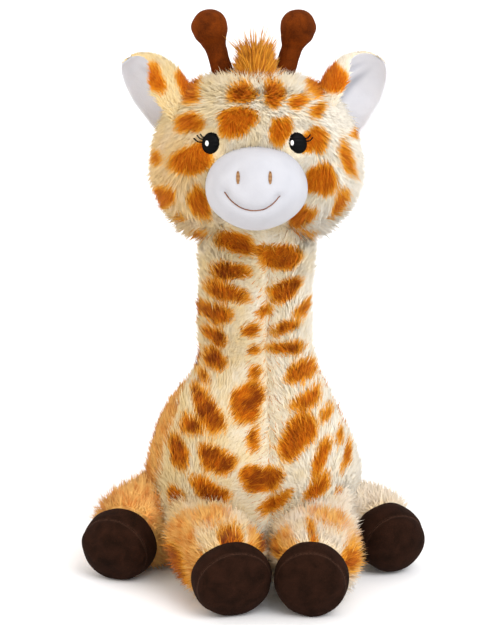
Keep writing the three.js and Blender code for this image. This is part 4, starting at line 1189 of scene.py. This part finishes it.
earParts, earCuts = {}, {}
for side, name in sideNames.items():
    backGrids = [earGrid(side, inset) for inset in ear["backInset"]]
    liningGrids = [earGrid(side, inset, low=-ear["liningPast"], high=high)
                   for inset, high in zip(ear["liningInset"], ear["liningShort"])]
    back = sheetPiece(f"ear_{name}_plush", *backGrids, plushCloth)
    lining = sheetPiece(f"ear_{name}_minky", *liningGrids, earMinky)
    earCuts[name] = cutSize(*backGrids), cutSize(*liningGrids)
    rows, columns = ear["rows"], ear["columns"]
    order = np.arange(2 * rows * columns)
    column, row = order % columns, order // columns % rows
    across, ups = column / (columns - 1), np.linspace(ear["from"], ear["to"], rows)[row]
    # painted shade along the fold of the lining, one side stronger
    creased = foldShare(across + 0.09, ups) + 0.7 * foldShare(across - 0.09, ups)
    setAttributes(lining.data, fold=0.75 * np.minimum(1, creased))
    upright = math.radians(ear["upright"][name])
    comb = fromHead([side * math.cos(upright), 0, math.sin(upright)]) - (0, 0, head["middle"])
    # short hair round the rim
    rim = np.minimum(smoothStep(0.5, 9, column), mix(0.1, 1, smoothStep(35, 24, row)))
    setAttributes(back.data, comb=np.tile(comb, (len(order), 1)), reach=0.62 * mix(0.3, 1, rim))
    if side < 0:
        earPaint = frontPatches([(-66.5, 51, 6.2, 11, 16, -14), (-45, 47, 8, 11, 10, -10),
                                 (-72, 44, 8, 9, 20, 14)])
    else:
        earPaint = frontPatches([(48, 52, 12, 12, 20, -10), (74, 48, 8, 10, -20, 14)])
    paintSkin(back, earPaint, None, toHead)
    earLook = dict(furLook, density=2.3, lean=7.5, lift=4.6, softness=0.35)
    outside = (order < rows * columns) & (column > 0)
    fur = growPile(f"ear_{name}_pile", back, outside, earLook, plushCloth, 40 + side,
                   paintBy(earPaint, None, toHead))
    earParts[name] = (back, lining, fur)
print("ears made")


# Ossicones: velour stems with a round knob and a seam over it

ossicone = {"stemRadius": 6.9, "knobRadius": 12.0, "length": 42.8, "spacing": 41.0, "aside": -1.6,
            "setBack": 4, "splay": 16.5, "foot": 52.8, "knobAt": 0.745, "coreShare": 0.72}
ossiconeKnobShares = [(-0.35, 0.1), (0, 0), (0.36, 0), (0.5, 0.36), (0.62, 0.84), (0.745, 1)]


def makeOssicone(side):
    sides = 56
    knobAt = ossicone["knobAt"]
    ups = np.concatenate([np.linspace(-0.25, knobAt, 50)[:-1],
                          knobAt + (1 - knobAt) * np.sin(np.linspace(0, 0.985, 30) * math.pi / 2)])
    swell = readTable(ossiconeKnobShares, ups)
    tilt = math.radians(ossicone["splay"])
    rings = []
    for up, full in zip(ups, swell):
        radius = mix(ossicone["stemRadius"], ossicone["knobRadius"], full)
        if up > knobAt:
            radius = ossicone["knobRadius"] * math.sqrt(max(0.0, 1 - ((up - knobAt) / (1 - knobAt)) ** 2))
        ring = []
        for t in circleTurns(sides):
            seam = 0.35 * math.exp(-(((t - 4.2 + math.pi) % (2 * math.pi) - math.pi) * radius / 0.7) ** 2)
            x, y, z = (radius - seam) * math.cos(t), (radius - seam) * math.sin(t), ossicone["length"] * up
            x, z = x * math.cos(tilt) + z * math.sin(tilt), z * math.cos(tilt) - x * math.sin(tilt)
            ring.append((side * (x + ossicone["spacing"] / 2) + ossicone["aside"], y + ossicone["setBack"],
                         z + ossicone["foot"]))
        rings.append(ring)
    rings = np.array(rings)
    name = sideNames[side]
    piece = ringPiece(f"ossicone_{name}_velour", fromHead(rings), ossiconeVelour)
    points = places(piece.data) / mm
    points += normalsOf(piece.data) * (0.35 * lumps(points, 12, 8 + side))[:, None]
    piece.data.vertices.foreach_set("co", (points * mm).astype(np.float32).ravel())
    core = mix(rings.mean(1, keepdims=True), rings, ossicone["coreShare"])[4:-3:2]
    return piece, ringPiece(f"ossicone_{name}_wadding", fromHead(core), wadding)


ossiconePieces = {name: makeOssicone(side) for side, name in sideNames.items()}
print("ossicones made")


# Manes: long spiky strands on a low ridge, over the crown and down the back of the neck

mane = {"forelockHeight": 27, "forelockHalfWidth": 13, "halfWidth": 8, "height": 13, "ridgeShare": 0.5,
        "sink": 2.0, "neckRows": 40}
headManeShares = [(0.8, 0.2, 0.6), (0.9, 0.7, 0.72), (0.94, 1, 0.75), (1.02, 1, 0.72), (1.1, 0.8, 0.72),
                  (1.3, 0.58, 0.75), (1.62, 0.52, 0.72), (1.95, 0.44, 0.66), (2.2, 0.2, 0.5)]
neckManeShares = [(0.1, 0.3, 0.6), (0.24, 0.85, 1), (0.5, 1, 1), (0.74, 1, 1), (0.84, 0.5, 0.8)]


def ridgeRings(feet, outs, heights, widths):
    sink, sides = mane["sink"], 24
    rings = []
    for foot, out, tall, wide in zip(feet, outs, heights, widths):
        rings.append([foot - out * sink + out * (tall * mane["ridgeShare"] + sink) * math.sin(t)
                      * (math.sin(t) > 0) + out * sink * 0.5 * min(0, math.sin(t))
                      + frontAcross * wide * 0.75 * math.cos(t) for t in circleTurns(sides)])
    return np.array(rings)


def headManeRows():
    latitudes = np.linspace(0.9, 2.15, 60)
    table = np.array(headManeShares)
    tall = readTable(table[:, [0, 1]], latitudes) * mane["forelockHeight"]
    wide = readTable(table[:, [0, 2]], latitudes) * mane["forelockHalfWidth"]
    feet, outs = [], []
    for latitude in latitudes:
        foot = headPoint(min(latitude, 2 - latitude), -90 if latitude <= 1 else 90, -head["pile"])
        lean = math.pi / 2 * latitude
        feet.append(foot)
        outs.append(np.array([0, -math.cos(lean), math.sin(lean)]))
    return feet, outs, tall, wide


headMane = ringPiece("head_mane_ridge", fromHead(ridgeRings(*headManeRows())), maneCloth)
maneLook = {"density": 2.1, "lean": 5.0, "lift": 13.5, "width": 1.2, "clump": 4.5, "clumping": 0.3,
            "spread": 0.2, "softness": 0.55, "shortest": 0.85}


def dressMane(name, ridge, combs, reach, thick, look, seedShift):
    count = len(ridge.data.vertices)
    # along 0: the ridge under the mane takes the full painted root shade
    setAttributes(ridge.data, comb=combs, reach=reach, tone=np.full(count, 0.25), along=np.zeros(count))
    return growPile(name, ridge, thick, look, maneCloth, seedShift)


maneLocal = toHead(places(headMane.data) / mm)
forelock = smoothStep(8, -14, maneLocal[:, 1])
combs = np.stack([np.sign(maneLocal[:, 0]) * 0.05, np.full(len(maneLocal), 0.15),
                  np.full(len(maneLocal), 0.95)], -1)
combs[:, 2] = mix(-0.8, 0.95, smoothStep(45, 20, maneLocal[:, 1]))
maneUp = smoothStep(0.2, 0.85, (normalsOf(headMane.data) @ headSpin)[:, 2])
setAttributes(headMane.data, stand=mix(1.0, mix(0.3, 1.15, maneUp), forelock),
              trail=mix(1.0, mix(2.4, 0.4, maneUp), forelock))
headManeFur = dressMane("head_mane_pile", headMane, combs @ headSpin.T,
                        mix(0.62, mix(1.2, 1.62, maneUp), forelock), np.ones(len(maneLocal)), maneLook, 50)


def neckManeRows():
    ups = np.linspace(0.12, 0.84, mane["neckRows"])
    heights = body["height"] + body["neckLength"] * ups
    table = np.array(neckManeShares)
    feet = [np.array([0, deep - body["pile"], height])
            for height, deep in zip(heights, readTable(bodyTables()[1], heights))]
    tall = readTable(table[:, [0, 1]], ups) * mane["height"]
    wide = readTable(table[:, [0, 2]], ups) * mane["halfWidth"]
    return feet, [np.array([0, 1.0, 0])] * mane["neckRows"], tall, wide


neckMane = ringPiece("neck_mane_ridge", ridgeRings(*neckManeRows()), maneCloth)
neckManePoints = places(neckMane.data) / mm
combs = np.tile([0.0, 0.2, 1.0], (len(neckManePoints), 1))
neckManeFur = dressMane("neck_mane_pile", neckMane, combs, np.full(len(neckManePoints), 0.72),
                        np.ones(len(neckManePoints)), maneLook, 51)
print("manes made")


# Legs and hooves

hoof = {"radius": 25.3, "seamShare": 0.94, "press": 0.5, "sag": 1.0}
leg = {"full": 29.8, "rootHalfWidth": 21, "rootHalfHeight": 17, "end": 0.86, "tuck": 0.9, "inside": 9,
       "pile": 6.8, "stuffingInset": 3}
legFullShares = [(-0.3, 0), (0, 0), (0.14, 0.2), (0.3, 0.62), (0.48, 0.94), (0.66, 1), (0.86, 1)]
bandWideShares = [(0, 0.76), (0.12, 0.87), (0.3, 0.965), (0.55, 1), (0.8, 0.985), (1, 0.94)]
frontHoofGap = 2.2
legs = {"front": {"length": 89, "rootHeight": 47, "across": 0.57, "forward": 0.56, "bandLength": 15,
                  "slim": {1: 0, -1: 0}, "soleBulge": 9,
                  "aim": -math.asin((body["halfWidth"] * 0.57 - hoof["radius"] - frontHoofGap / 2) / 89)},
        "hind": {"length": 72, "rootHeight": 40, "across": 0.66, "forward": -0.2, "bandLength": 19,
                 "slim": {1: 2.0, -1: -1.5}, "soleBulge": 12, "aim": math.radians(38)}}


def legFrame(look, side):
    start = np.array([body["halfWidth"] * look["across"], -body["halfDepth"] * look["forward"],
                      look["rootHeight"]])
    hoofHeight = hoof["radius"] - hoof["press"]
    level = math.sqrt(look["length"] ** 2 - (look["rootHeight"] - hoofHeight) ** 2)
    end = np.array([start[0] + level * math.sin(look["aim"]), start[1] - level * math.cos(look["aim"]),
                    hoofHeight])
    along = unit(end - start)
    across = unit(np.cross([0, 0, 1.0], along))
    up = np.cross(along, across)
    flip = np.array([side, 1, 1])
    return start * flip, along * flip, across * flip, up * flip


def ringsAlong(legBase, rows, sides):  # rows of distance along, half width, half height
    start, along, across, up = legBase
    turns = circleTurns(sides)
    return np.array([[start + along * out + across * wide * math.cos(t) + up * tall * math.sin(t)
                      for t in turns] for out, wide, tall in rows])


legPaint = {
    ("front", -1): [(-62, 22, 10, 19, 0, -88), (-24, 46, 9, 9, 4, -108), (-3, 42, 5, 7, 20, -106)],
    ("front", 1): [(5, 40, 4, 6, -20, -106), (28.4, 50, 3.4, 6, 0, -108), (54, 34, 7, 9, 14, -96)],
    ("hind", -1): [],
    ("hind", 1): [(98, 50, 9, 4, -25, -52), (108, 42, 5, 8, 0, -60)],
}
legFlank = {("front", -1): 0.2, ("front", 1): 0.15, ("hind", -1): 0.9, ("hind", 1): 0.15}
legTan = {  # tan areas, as the patches are
    ("front", -1): [(-58, 34, 16, 27, 0, -88), (-38, 60, 26, 5, 10, -92), (-4, 46, 10, 10, 20, -106)],
    ("front", 1): [(44, 56, 24, 5, -12, -92), (8, 44, 9, 12, -20, -106), (58, 34, 8, 16, 0, -90)],
    ("hind", -1): [], ("hind", 1): [(104, 44, 8, 10, -25, -58)],
}
# how each leg settles: its top pressed down, its haunch up, its hoof aside, back and turned,
# its size and height, and how much longer its band is
legSettles = {
    ("front", -1): {"press": 0.25, "haunch": 0, "aside": 2.8, "back": 6.5, "turn": 0,
                    "size": 1.03, "tall": 0.95, "longer": 2},
    ("front", 1): {"press": 0.42, "haunch": 0, "inwards": 3, "aside": -1.2, "back": 2.5, "turn": 0,
                   "size": 0.955, "tall": 1.055, "longer": 1.5},
    ("hind", -1): {"press": 0, "haunch": 8, "aside": -2.5, "back": 11, "turn": 10,
                   "size": 1.01, "tall": 0.945, "longer": 1},
    ("hind", 1): {"press": 0.25, "haunch": 0, "aside": -3.0, "back": 9, "turn": -20,
                  "size": 0.937, "tall": 0.958, "longer": 3.4},
}


# how the stuffing settles: the top sinks, the haunch swells, the hoof shifts
def legHold(points, base, look, pair, side):
    distance = (points - base[0]) @ base[1]
    share = distance / look["length"]
    settle = legSettles[(pair, side)]
    above = np.maximum(0, (points - base[0] - np.outer(distance, base[1])) @ base[3])
    easing = smoothStep(-0.15, 0.2, share) * (1 - smoothStep(leg["end"] - 0.14, leg["end"], share))
    rise = (settle["haunch"] * hill(share, 0.16, 0.2) * np.minimum(1, above / 12)
            - settle["press"] * above * easing)
    shifted = smoothStep(leg["end"] - 0.5, leg["end"] - 0.02, share)
    pivot = base[0] + base[1] * (look["length"] * leg["end"] + 8)
    turn = math.radians(settle["turn"]) * shifted
    x, y = (points - pivot)[:, :2].T
    turned = (np.stack([x * np.cos(turn) - y * np.sin(turn), x * np.sin(turn) + y * np.cos(turn)], -1)
              + pivot[:2])
    inwards = settle.get("inwards", 0) * hill(share, 0.35, 0.2)
    held = points + np.outer(rise, base[3]) - np.outer(inwards, (side, 0, 0))
    held[:, :2] += turned - points[:, :2]
    return held + np.outer(shifted, (settle["aside"], settle["back"], -hoof["sag"]))


def hoofRounds(look, pair, side):  # radius along the leg, first of the band, then of the sole
    settle = legSettles[(pair, side)]
    radius = hoof["radius"] * settle["size"]
    seamRadius = radius * hoof["seamShare"]
    start = look["length"] * leg["end"] + 0.3 - settle["longer"]
    seamAt = look["length"] * leg["end"] + look["bandLength"] + 0.45
    band = [(mix(start, seamAt - 0.15, out), radius * float(readTable(bandWideShares, out)))
            for out in np.linspace(0, 1, 30)]
    sole = [(seamAt + look["soleBulge"] * math.sin(turn), max(0.3, seamRadius * math.cos(turn) ** 0.85))
            for turn in np.linspace(0, math.pi / 2, 30)]
    return band, sole, seamAt, seamRadius


def makeLeg(pair, side):
    look = legs[pair]
    base = legFrame(look, side)
    name = f"{pair}_leg_{sideNames[side]}"
    length, inset = look["length"], leg["pile"]
    rows = []
    settle = legSettles[(pair, side)]
    stop = leg["end"] - settle["longer"] / length
    for out in np.linspace(-leg["inside"] / length, stop, 46):
        full = float(readTable(legFullShares, out))
        close = 1 - (1 - leg["tuck"]) * smoothStep(stop - 0.12, stop, out)
        slim = inset + look["slim"][side] * float(smoothStep(0, 0.3, out))
        rows.append((length * out, mix(leg["rootHalfWidth"], leg["full"], full) * close - slim,
                     mix(leg["rootHalfHeight"], leg["full"], full) * close - slim))
    rings = ringsAlong(base, rows, 72)
    skin = ringPiece(name + "_plush", rings, plushCloth)
    points = places(skin.data) / mm
    distance = (points - base[0]) @ base[1]
    points += (normalsOf(skin.data) * (1.1 * lumps(points, 34, 12 + side * (2 if pair == "front" else 5))
                                       * smoothStep(0, 25, distance))[:, None])
    points = legHold(points, base, look, pair, side)
    points[:, 2] = np.maximum(points[:, 2], 0.6)
    movePoints(skin, points)
    nearHoof = smoothStep(length * 0.55, length * leg["end"], distance)
    setAttributes(skin.data, comb=np.tile(-base[1], (len(points), 1)) * 0.6, reach=1 - 0.12 * nearHoof)
    paint, tans = frontPatches(legPaint[(pair, side)]), frontPatches(legTan[(pair, side)])

    def flank(local):
        return np.maximum(legFlank[(pair, side)], patchLevel(local, tans))

    paintSkin(skin, paint, flank)
    bodyAway = np.hypot(points[:, 0] / (body["halfWidth"] - 8), points[:, 1] / (body["halfDepth"] - 8))
    beforeCuff = distance < length * stop - 1.2
    thick = smoothStep(2, 7, points[:, 2]) * (bodyAway > 0.97) * beforeCuff
    legLook = dict(furLook, density=2.2, lean=5.4, lift=7.8, spread=0.45, clumping=0.45)
    fur = growPile(name + "_pile", skin, thick, legLook, plushCloth,
                   60 + side + (10 if pair == "hind" else 0), paintBy(paint, flank))
    hoofName = f"{pair}_hoof_{sideNames[side]}"
    bandRounds, soleRounds, soleStart, seamRadius = hoofRounds(look, pair, side)
    within = leg["stuffingInset"]
    stuffing = [(out, wide - within, tall - within) for out, wide, tall in rows[3:]]
    stuffing += [(out, wide - within, wide * settle["tall"] - within)
                 for out, wide in (bandRounds[8:] + soleRounds[:16])[::3]]
    inner = ringsAlong(base, stuffing, 40)
    inner = legHold(inner.reshape(-1, 3), base, look, pair, side).reshape(inner.shape)
    inner[..., 2] = np.maximum(inner[..., 2], 3.2)
    filling = ringPiece(name + "_wadding", inner, wadding)
    bandRounds = [(bandRounds[0][0] - 0.2, 8)] + bandRounds + [(soleStart - 0.75, seamRadius - 2)]
    soleRounds = [(soleStart + 0.8, seamRadius - 2)] + soleRounds
    bandRows, soleRows = ([(out, wide, wide * settle["tall"]) for out, wide in rounds]
                          for rounds in (bandRounds, soleRounds))
    pieces = []
    for part, partRows, order in (("band", bandRows, 0), ("sole", soleRows, 1)):
        piece = ringPiece(f"{hoofName}_{part}_velour", ringsAlong(base, partRows, 112), hoofVelour)
        points = places(piece.data) / mm
        axis = (points - base[0]) @ base[1]
        spoke = points - base[0] - np.outer(axis, base[1])
        around = np.arctan2(spoke @ base[3], spoke @ base[2])
        seam = hill(axis, soleStart, 2.2)
        puckers = 0.1 * np.cos(around * 44) + 0.08 * np.cos(around * 17 + 1.3 * order) - 0.3
        push = (seam * puckers + 0.45 * lumps(points, 20, 30 + order + side * (3 if pair == "front" else 7))
                * (1 - 0.6 * seam))
        points = legHold(points + normalsOf(piece.data) * push[:, None], base, look, pair, side)
        points[:, 2] = np.maximum(points[:, 2], 0.15)
        # painted highlight along the sole seam, where the parted pile catches the light
        setAttributes(piece.data, seam=hill(axis - soleStart, 0.3, 0.8))
        movePoints(piece, points)
        pieces.append(piece)
    return skin, fur, pieces[0], pieces[1], filling


legPieces = {(pair, side): makeLeg(pair, side) for pair in legs for side in sideNames}
print("legs made")


# Tail

tail = {"radius": 5.5, "rootHeight": 46, "reach": 40, "tuftLength": 26, "tuftRadius": 8, "pile": 2.6}


def makeTail():
    back, low = body["halfDepth"], tail["tuftRadius"] - hoof["press"]
    half, high = back + tail["reach"] / 2, tail["rootHeight"]
    corners = ((back, high), (half, high), (half, low), (back + tail["reach"], low))
    a, b, c, d = (np.array([0, *corner], float) for corner in corners)
    turns = circleTurns(28)
    rings = []
    for t in np.linspace(-0.14, 1, 50):
        u = max(t, 0)
        place = a * (1 - u) ** 3 + 3 * b * u * (1 - u) ** 2 + 3 * c * u * u * (1 - u) + d * u ** 3
        along = unit(3 * (b - a) * (1 - u) ** 2 + 6 * (c - b) * u * (1 - u) + 3 * (d - c) * u * u)
        if t < 0:
            place = place + along * t * 60
        up = np.cross(along, frontAcross)
        radius = tail["radius"] - tail["pile"]
        rings.append([place + frontAcross * radius * math.cos(s) + up * radius * math.sin(s) for s in turns])
    tube = ringPiece("tail_plush", np.array(rings), plushCloth)
    rings = []
    for share in np.linspace(0, 1, 30):
        radius = (tail["tuftRadius"] - 3.5) * math.sin(math.pi * mix(0.18, 0.97, share)) ** 0.7 + 0.4
        behind = d[1] + 0.3 + share * (tail["tuftLength"] - 7)
        rings.append([(radius * math.cos(s), behind, low + radius * math.sin(s)) for s in turns])
    tuft = ringPiece("tail_tuft_core", np.array(rings), maneCloth)
    return tube, tuft


tailTube, tailTuft = makeTail()
tailPoints = places(tailTube.data) / mm
setAttributes(tailTube.data, comb=np.tile([0, 0.35, -1.0], (len(tailPoints), 1)),
              reach=np.full(len(tailPoints), 0.55))
tailPaint = scatterPatches(tailPoints, normalsOf(tailTube.data), tailPoints[:, 1] > body["halfDepth"] + 4,
                           13, ((4, 5), (4, 5)), [], 9)
paintSkin(tailTube, tailPaint, lambda local: np.full(len(local), 0.5))
tailFur = growPile("tail_pile", tailTube, (tailPoints[:, 1] > body["halfDepth"] - 6).astype(float),
                   dict(furLook, lift=4.0), plushCloth, 80,
                   paintBy(tailPaint, lambda local: np.full(len(local), 0.5)))
tuftPoints = places(tailTuft.data) / mm
tuftLook = dict(maneLook, density=1.2, lean=9.0, lift=3.2, width=0.9)
tuftFur = dressMane("tail_tuft_pile", tailTuft, np.tile([0, 1.0, 0.0], (len(tuftPoints), 1)),
                    np.full(len(tuftPoints), 0.8), np.ones(len(tuftPoints)), tuftLook, 81)
print("tail made")


# What stays inside, and what each piece rides on and stands for

for name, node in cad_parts.items():
    cloth = pouchCloth if name == "bean_bag" else wadding
    node.data.materials.clear()
    node.data.materials.append(cloth)

for spare in (strandShape, stitchShape):
    bpy.data.objects.remove(spare)


def dress(piece, bodyName, slot, *nodes):
    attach(piece, bodyName)
    if nodes:
        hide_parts(*nodes)


for piece in [bodyWadding, bodySkin] + bodyFurs:
    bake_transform(piece)
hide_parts("torso_skin", "neck_skin")
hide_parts("torso_filling", "neck_filling")
dress(neckMane, "neck", "mane_plush", "neck_mane")
dress(neckManeFur, "neck", "mane_plush")
dress(headSkin, "head", "long_pile_plush", "head_skin")
for piece in headFurs:
    dress(piece, "head", "long_pile_plush")
dress(muzzlePiece, "head", "white_plush", "muzzle_skin")
dress(headMane, "head", "mane_plush", "head_mane")
dress(headManeFur, "head", "mane_plush")
for name, piece in eyePieces.items():
    dress(piece, "head", "eye_thread", "eye_" + name)
for piece in facePieces:
    dress(piece, "head", "eye_thread")
for name, (back, lining, fur) in earParts.items():
    dress(back, "ear_" + name, "long_pile_plush", f"ear_{name}_fur")
    dress(lining, "ear_" + name, "white_plush", f"ear_{name}_lining")
    dress(fur, "ear_" + name, "long_pile_plush")
    for cloth, (flat, area) in zip((back, lining), earCuts[name]):
        print(cloth.name, "cut", [round(size / mm, 1) for size in flat], "mm, area", round(area * 1e4, 1),
              "cm2")
for name, (piece, core) in ossiconePieces.items():
    dress(piece, "ossicone_" + name, "ossicone_velour", f"ossicone_{name}_skin")
    dress(core, "ossicone_" + name, "polyester_filling", f"ossicone_{name}_filling")
for (pair, side), (skin, fur, band, sole, filling) in legPieces.items():
    name = sideNames[side]
    limb = f"{pair}_leg_{name}"
    dress(skin, limb, "long_pile_plush", limb + "_skin")
    dress(fur, limb, "long_pile_plush")
    dress(band, limb, "hoof_velour", f"{pair}_hoof_{name}_band")
    dress(sole, limb, "hoof_velour", f"{pair}_hoof_{name}_sole")
    dress(filling, limb, "polyester_filling", limb + "_filling")
dress(tailTube, "tail", "long_pile_plush", "tail_tube")
dress(tailFur, "tail", "long_pile_plush")
dress(tailTuft, "tail", "mane_plush", "tail_tuft")
dress(tuftFur, "tail", "mane_plush")

padded = [(bodyWadding, 0.8), (bodySkin, 0.8), (headSkin, 0.9), (muzzlePiece, 0.8)]
padded += [(piece, 0.9) for pair in ossiconePieces.values() for piece in pair]
for skin, fur, band, sole, filling in legPieces.values():
    padded += [(skin, 0.8), (band, 0.8), (sole, 0.8), (filling, 0.8)]

print(strandCount, "strands in all")
